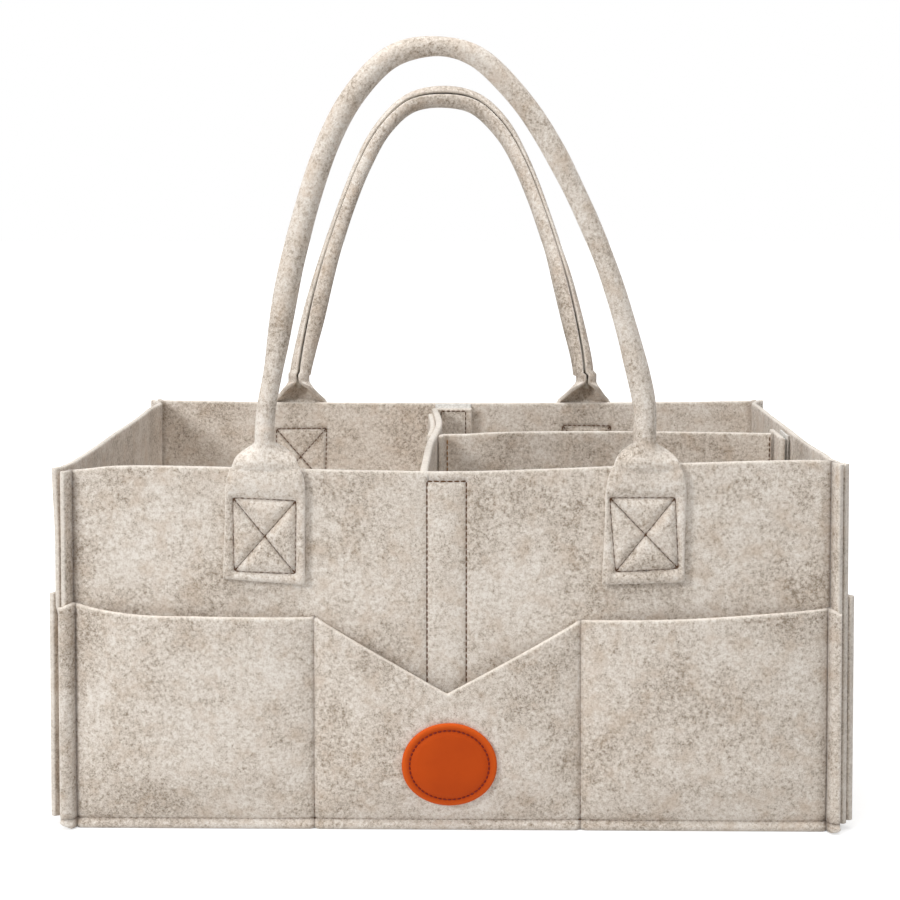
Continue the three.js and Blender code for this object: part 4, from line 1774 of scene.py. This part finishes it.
def back_handle(finishes: Finishes) -> Handle:
    """The back handle, which leans back and shows the open side of its roll."""
    shape = Arch(
        -8.5, 176.5, 17.5,
        left=(1.0, 0.99, 0.968, 0.926, 0.781, 0.569, 0.422, 0.237),
        right=(0.99, 0.98, 0.963, 0.921, 0.772, 0.554, 0.403, 0.215),
        top=-0.011,
        height=177.9,
    )
    fullness = Profile((
        (0.0, 1.25), (0.07, 1.38), (0.13, 1.28), (0.2, 1.05), (0.3, 1.0), (0.42, 1.08),
        (0.5, 1.35), (0.58, 1.28), (0.66, 1.05), (0.8, 1.02), (0.87, 1.26), (0.93, 1.3),
        (1.0, 1.2),
    ))
    twist = Profile((
        (0.0, 0.1), (0.12, 0.5), (0.3, 0.55), (0.42, 0.3), (0.5, 0.05), (0.58, 0.3),
        (0.7, 0.55), (0.88, 0.5), (1.0, 0.1),
    ))
    return Handle(finishes, "back_handle", Body.BACK_HANDLE, 1, shape, BACK_TABS,
                  BACK_CHORD, fullness, twist)


# Strips of tape and the divider

LOOP_Y, HOOK_Y, FLANGE_Y = 119.6, 118.1, 115.7
LOOP_X, HOOK_X, FLANGE_X = 178.57, 177.07, 174.67
STRIP_MIDDLE, STRIP_HALF, STRIP_BOTTOM = -1.8, 11.0, 12.0
END_FLANGE_Y, END_FLANGE_HALF = 1.0, 16.5


@dataclass
class TapeStrips:
    """Hook and loop strips: loops on the walls and hooks on the divider's flanges."""

    finishes: Finishes
    tape: float = 1.2

    def strip(self, name: str, body: Body, ends: Sequence[Vector], top: float) -> None:
        """One strip that stands along a straight line."""
        right = name.startswith("right")
        sheet = StandingSheet(
            name=f"{name}_tape",
            line=Line(ends),
            bottom=lambda p: STRIP_BOTTOM,
            top=lambda p: top,
            push=leaning if right else still,
            thickness=self.tape,
            leans=right and body is Body.CADDY,
            nominal=160.0,
        )
        piece = on_body(sheet.build(self.finishes.tape), body, [name])

    def build(self) -> None:
        """Builds all six strips."""
        left, right = STRIP_MIDDLE - STRIP_HALF, STRIP_MIDDLE + STRIP_HALF
        low, high = END_FLANGE_Y - STRIP_HALF, END_FLANGE_Y + STRIP_HALF
        for side, out, drop in (("front", -1, 2.4), ("back", 1, 0.0)):
            for kind, y, top, body in (
                ("loop", LOOP_Y, 177.0, Body.CADDY), ("hook", HOOK_Y, 175.4, Body.INSERT),
            ):
                ends = [Vector((left, out * y)), Vector((right, out * y))]
                self.strip(f"{side}_{kind}_strip", body, ends, top - drop)
        for kind, x, top, body in (
            ("loop", LOOP_X, 176.8, Body.CADDY), ("hook", HOOK_X, 175.0, Body.INSERT),
        ):
            ends = [Vector((x, low)), Vector((x, high))]
            self.strip(f"right_{kind}_strip", body, ends, top)


CROSS_X, CROSS_BOW, BOW_LEVEL = -13.2, 5.2, 0.62


def bow_at(y: float) -> float:
    """Where the cross divider stands at a depth, as an x in mm."""
    share = y / FLANGE_Y
    level = BOW_LEVEL + (1 - BOW_LEVEL) * math.sin(share * math.pi)
    return CROSS_X + CROSS_BOW * level * math.cos(share * math.pi / 2)


@dataclass
class Divider:
    """The lift-out insert: a cross wall, a long wall, a second layer and an end flange."""

    finishes: Finishes
    flange: float = 23.0
    junction_y: float = -4.0
    lip: float = 8.0
    long_bow: float = 4.0
    layer_length: float = 92.0
    rear_gap: float = 0.3
    cross_felt: float = 3.9
    seam_inset: float = 0.9
    lip_seam: float = 1.9
    lip_setback: float = 0.75
    lip_bend: float = 1.8
    flange_bend: float = 3.0
    lean_rise: tuple[float, float] = (60.0, 110.0)
    steps: int = 40
    layer_steps: int = 30

    def wall(self, name: str, points: Sequence[Vector], cut: Cut, top: Profile) -> None:
        """One wall of the insert, whose right end leans as the right wall does."""
        sheet = StandingSheet(
            name=f"{name}_felt",
            line=Line(points),
            bottom=lambda p: base_top(p.x, p.y) + SIZES.gap,
            top=lambda p: top.at(p.x if name == "long_divider" else p.y),
            push=lambda p, z: leaning(p, z) * eased(p.x, self.lean_rise),
            thickness=self.cross_felt if name == "cross_divider" else SIZES.felt,
            step=3.6,
            leans=False,
            nominal=170.0,
        )
        stand(sheet, self.finishes, Body.INSERT)

    def cross_line(self) -> list[Vector]:
        """The cross wall's line, from the rear flange to the front one."""
        first, last = (Vector((CROSS_X + self.flange, y)) for y in (FLANGE_Y, -FLANGE_Y))
        depths = (FLANGE_Y * (1 - 2 * k / self.steps) for k in range(self.steps + 1))
        wall = [Vector((bow_at(y), y)) for y in depths]
        turn = rounded_line([first, wall[0], wall[2]], self.flange_bend)
        back_turn = rounded_line([wall[-3], wall[-1], last], self.flange_bend)
        return [*turn[:-1], *wall[2:-2], *back_turn[1:]]

    def long_line(self) -> list[Vector]:
        """The long wall's line, from its lip to the end flange."""
        start_x = bow_at(self.junction_y) + SIZES.layer
        corner = Vector((start_x + self.lip_setback, self.junction_y))
        end = Vector((FLANGE_X - SIZES.layer, END_FLANGE_Y))
        wall = []
        for k in range(self.steps + 1):
            share = k / self.steps
            point = corner.lerp(end, share)
            point.y += self.long_bow * math.sin(math.pi * share)
            wall.append(point)
        tip = Vector((start_x, self.junction_y - self.lip))
        turn = rounded_line([tip, corner, wall[2]], self.lip_bend)
        return [*turn[:-1], *wall[2:]]

    def layer_line(self) -> list[Vector]:
        """The second layer's line, behind the junction."""
        points = []
        for k in range(self.layer_steps + 1):
            y = self.junction_y + SIZES.layer + self.layer_length * k / self.layer_steps
            gap = self.rear_gap * math.sin(math.pi * k / self.layer_steps)
            points.append(Vector((bow_at(y) - SIZES.layer - gap, y)))
        return points

    def build(self) -> None:
        """Builds the insert and its stitching."""
        self.wall("cross_divider", self.cross_line(), Cut((0.277, 0.172), "folded"), Profile((
            (-116.0, 174.2), (-104.0, 175.9), (-60.0, 176.8), (-4.0, 176.9), (60.0, 176.4),
            (100.0, 175.6), (116.0, 174.6),
        )))
        self.wall("long_divider", self.long_line(), Cut((0.187, 0.172), "folded"), Profile((
            (-9.0, 176.3), (6.0, 176.2), (26.0, 177.0), (100.0, 177.0), (172.0, 176.4),
        )))
        self.wall("rear_divider_layer", self.layer_line(), Cut((0.092, 0.172), "stretched"),
                  Profile(((-2.0, 175.2), (90.0, 174.6))))
        low, high = END_FLANGE_Y - END_FLANGE_HALF, END_FLANGE_Y + END_FLANGE_HALF
        flange = [Vector((FLANGE_X, low)), Vector((FLANGE_X, high))]
        self.wall("right_flange_panel", flange, Cut((0.033, 0.168), "stretched"),
                  Profile(((-200.0, 176.3), (200.0, 176.3))))
        self.sew()

    def sew(self) -> None:
        """Sews the flanges, the junction's lip and the end of the long wall."""
        brown, golden = self.finishes.brown_thread, self.finishes.golden_thread
        seam = Stitching("divider_stitching", Body.INSERT, brown, gap=0.4, thread=0.8)
        low, high, flange_top = 14.0, 173.5, 174.8
        left, right, top, foot = -9.2, 5.8, 173.2, STRIP_BOTTOM + 3
        for out in (-1, 1):
            y = out * (FLANGE_Y - self.cross_felt / 2 - 0.05)
            corners = ((left, top), (right, top), (right, foot), (left, foot))
            seam.run([Vector((x, y, z)) for x, z in corners], closed=True)
        x = FLANGE_X - SIZES.layer - self.seam_inset
        for out in (-1, 1):
            y = END_FLANGE_Y + 0.2 + out * (SIZES.felt / 2 + 0.05)
            heights = (low, 50.0, 90.0, 130.0, flange_top)
            seam.run([Vector((x + end_lean(z, 1), y, z)) for z in heights])
        seam.sew()
        lip = Stitching("junction_stitching", Body.INSERT, golden, gap=0.4, thread=0.8)
        x = bow_at(self.junction_y) + SIZES.layer + SIZES.felt / 2 + self.lip_seam
        lip.run([Vector((x, self.junction_y - SIZES.felt / 2 + 0.1, z)) for z in (low, high)])
        lip.sew()


# Seams on the body


@dataclass
class BodySeams:
    """The long seams: corners, foot, pocket divisions and the strip behind the tape."""

    finishes: Finishes
    pocket_top: float = 110.0
    rim_end: float = 175.0
    foot_start: float = 5.5
    wall_inset: float = 0.9
    pocket_inset: float = 2.75
    foot_end: float = 178.0
    division_ends: tuple[float, float] = (7.0, 103.5)

    @staticmethod
    def line(
        start: Sequence[float], end: Sequence[float], steps: int, face: Callable[..., float],
        out: int, sunk: float = 0.0,
    ) -> list[Vector]:
        """A straight seam's points on a wall's outer face.

        Args:
            start: the x and z where it starts, in mm.
            end: the x and z where it ends, in mm.
            steps: how many short pieces it has.
            face: where the outer face stands at an x and z.
            out: which wall it is on, -1 for the front and 1 for the back.
            sunk: how far it lies in the felt, in mm.

        Returns:
            The points.
        """
        points = []
        for k in range(steps + 1):
            x, z = (lerp(a, b, k / steps) for a, b in zip(start, end))
            points.append(lean(Vector((x, face(x, z, out) - sunk * out, z))))
        return points

    def strip_box(self, seam: Stitching, out: int) -> None:
        """The rectangle that holds a loop strip, seen on the outside of the wall."""
        left, right = SIZES.strip_left, SIZES.strip_right
        low, high = SIZES.strip_bottom, SIZES.strip_top
        corners = [(left, low), (left, high), (right, high), (right, low)]
        for start, end in zip(corners, corners[1:]):
            seam.run(self.line(start, end, 32, WALL.face, out))

    def corner(self, seam: Stitching, sign: int, out: int) -> None:
        """One corner seam, in the crease between the wall and its lip, from rim to foot."""
        for low, high, inset, face in (
            (self.pocket_top + 1, self.rim_end, self.wall_inset, WALL.face),
            (self.foot_start, self.pocket_top - 1, self.pocket_inset, POCKET.face),
        ):
            x = sign * (SIZES.groove_x - inset)
            seam.run(self.line((x, low), (x, high), 24, face, out, sunk=0.1))

    def foot(self, seam: Stitching, out: int) -> None:
        """The foot seam along the front or the back."""
        z = SIZES.foot_seam
        seam.run(self.line((-self.foot_end, z), (self.foot_end, z), 180, POCKET.face, out))

    def division(self, seam: Stitching, x: float, out: int) -> None:
        """An upright seam between two pockets."""
        low, high = self.division_ends
        seam.run(self.line((x, low), (x, high), 40, POCKET.face, out))

    def build(self) -> None:
        """Sews every long seam."""
        thread = self.finishes.brown_thread
        seam = Stitching("body_stitching", Body.CADDY, thread, gap=0.3, thread=0.95)
        corners = Stitching("corner_stitching", Body.CADDY, thread, pitch=2.6, gap=0.4, thread=0.9)
        for out in (-1, 1):
            self.strip_box(seam, out)
            self.foot(seam, out)
            for sign in (-1, 1):
                self.corner(corners, sign, out)
            for x in (SIZES.left_seam, SIZES.right_seam):
                self.division(seam, -out * x, out)
        seam.sew()
        corners.sew()


# The studio


def viewed(tree: bpy.types.NodeTree) -> Socket:
    """1 for rays that reach the eye: straight, from something shiny or through something."""
    path = add_node(tree, "LightPath", {})
    seen = path.outputs["Is Camera Ray"]
    for kind in ("Glossy", "Transmission"):
        sockets = {0: seen, 1: path.outputs[f"Is {kind} Ray"]}
        seen = add_node(tree, "Math", sockets, operation="MAXIMUM").outputs[0]
    return seen


@dataclass
class Studio:
    """A white floor and background, soft lamps, and the camera where the picture was taken."""

    eye: tuple[float, float, float] = (11.8, -934.4, 313.1)
    pitch: float = 7.40
    turn: float = 0.85
    lens: float = 69.12
    shift_y: float = -0.05
    sky: float = 0.36
    paper: float = 0.66
    glow: tuple[float, float, float, float] = (0.35, 0.8, 0.56, 1.0)
    drop: float = 0.0004

    def floor(self) -> None:
        """A wide floor that stays white and keeps the caddy's shadow."""
        shaped = bmesh.new()
        bmesh.ops.create_grid(shaped, x_segments=1, y_segments=1, size=8.0)
        bmesh.ops.translate(shaped, verts=shaped.verts, vec=(0, 0, -self.drop))
        paint = Paint("white_studio_paper")
        paper = add_node(paint.tree, "BsdfDiffuse", {"Color": (*[self.paper] * 3, 1)})
        away = add_node(paint.tree, "VectorMath", {0: paint.place}, operation="LENGTH")
        level = paint.spread(away.outputs["Value"], *self.glow)
        strength = paint.sum("MULTIPLY", viewed(paint.tree), level)
        glow = add_node(paint.tree, "Emission", {"Strength": strength})
        both = add_node(paint.tree, "AddShader", {0: paper.outputs[0], 1: glow.outputs[0]})
        piece_from("studio_floor", shaped, paint.end(both))

    def world(self) -> None:
        """White behind the caddy, and a plain soft light from all round."""
        world = bpy.data.worlds.new("studio_world")
        bpy.context.scene.world = world
        world.use_nodes = True
        tree = world.node_tree
        tree.nodes.clear()
        soft, white = (
            add_node(tree, "Background", {"Color": (1, 1, 1, 1), "Strength": strength})
            for strength in (self.sky, 1.0)
        )
        mixed = add_node(tree, "MixShader", {
            0: viewed(tree), 1: soft.outputs[0], 2: white.outputs[0],
        })
        add_node(tree, "OutputWorld", {"Surface": mixed.outputs[0]})

    def lamp(self, name: str, place: Vector, power: float, size: float) -> None:
        """A square softbox that faces the caddy.

        Args:
            name: the lamp's name.
            place: where it hangs, in metres.
            power: its light, in watts.
            size: its width, in metres.
        """
        light = bpy.data.lights.new(name, "AREA")
        light.energy = power
        light.size = size
        lamp = bpy.data.objects.new(name, light)
        lamp.location = place
        lamp.rotation_euler = (Vector((0, 0, 0.12)) - place).to_track_quat("-Z", "Y").to_euler()
        bpy.context.scene.collection.objects.link(lamp)

    def camera(self) -> None:
        """The camera, at the picture's view."""
        data = bpy.data.cameras.new("camera")
        data.lens = self.lens
        data.sensor_width = 36.0
        data.shift_y = self.shift_y
        data.clip_end = 50.0
        camera = bpy.data.objects.new("camera", data)
        camera.location = Vector(self.eye) * MM
        camera.rotation_euler = (math.radians(90 - self.pitch), 0, math.radians(self.turn))
        bpy.context.scene.collection.objects.link(camera)
        bpy.context.scene.camera = camera

    def build(self) -> None:
        """Builds the studio."""
        bpy.context.scene.view_settings.view_transform = "Standard"
        self.camera()
        self.floor()
        self.world()
        self.lamp("key_softbox", Vector((-1.2, -1.1, 0.95)), power=13.8, size=0.4)
        self.lamp("fill_softbox", Vector((1.4, -1.0, 1.4)), power=1.2, size=1.0)
        self.lamp("top_softbox", Vector((0.0, -0.4, 1.9)), power=22.0, size=1.0)


def main() -> None:
    """Builds the studio and every part of the caddy, in order."""
    logging.basicConfig(level=logging.INFO, format="%(message)s")
    Studio().build()
    finishes = Finishes()
    makers = (
        ("base", Base(finishes)),
        ("walls", Walls(finishes)),
        ("pockets", Pockets(finishes)),
        ("badge", Badge(finishes)),
        ("front handle", front_handle(finishes)),
        ("back handle", back_handle(finishes)),
        ("tape strips", TapeStrips(finishes)),
        ("divider", Divider(finishes)),
        ("body seams", BodySeams(finishes)),
    )
    for name, maker in makers:
        maker.build()
        log.info("built the %s", name)


if __name__ == "__main__":
    main()
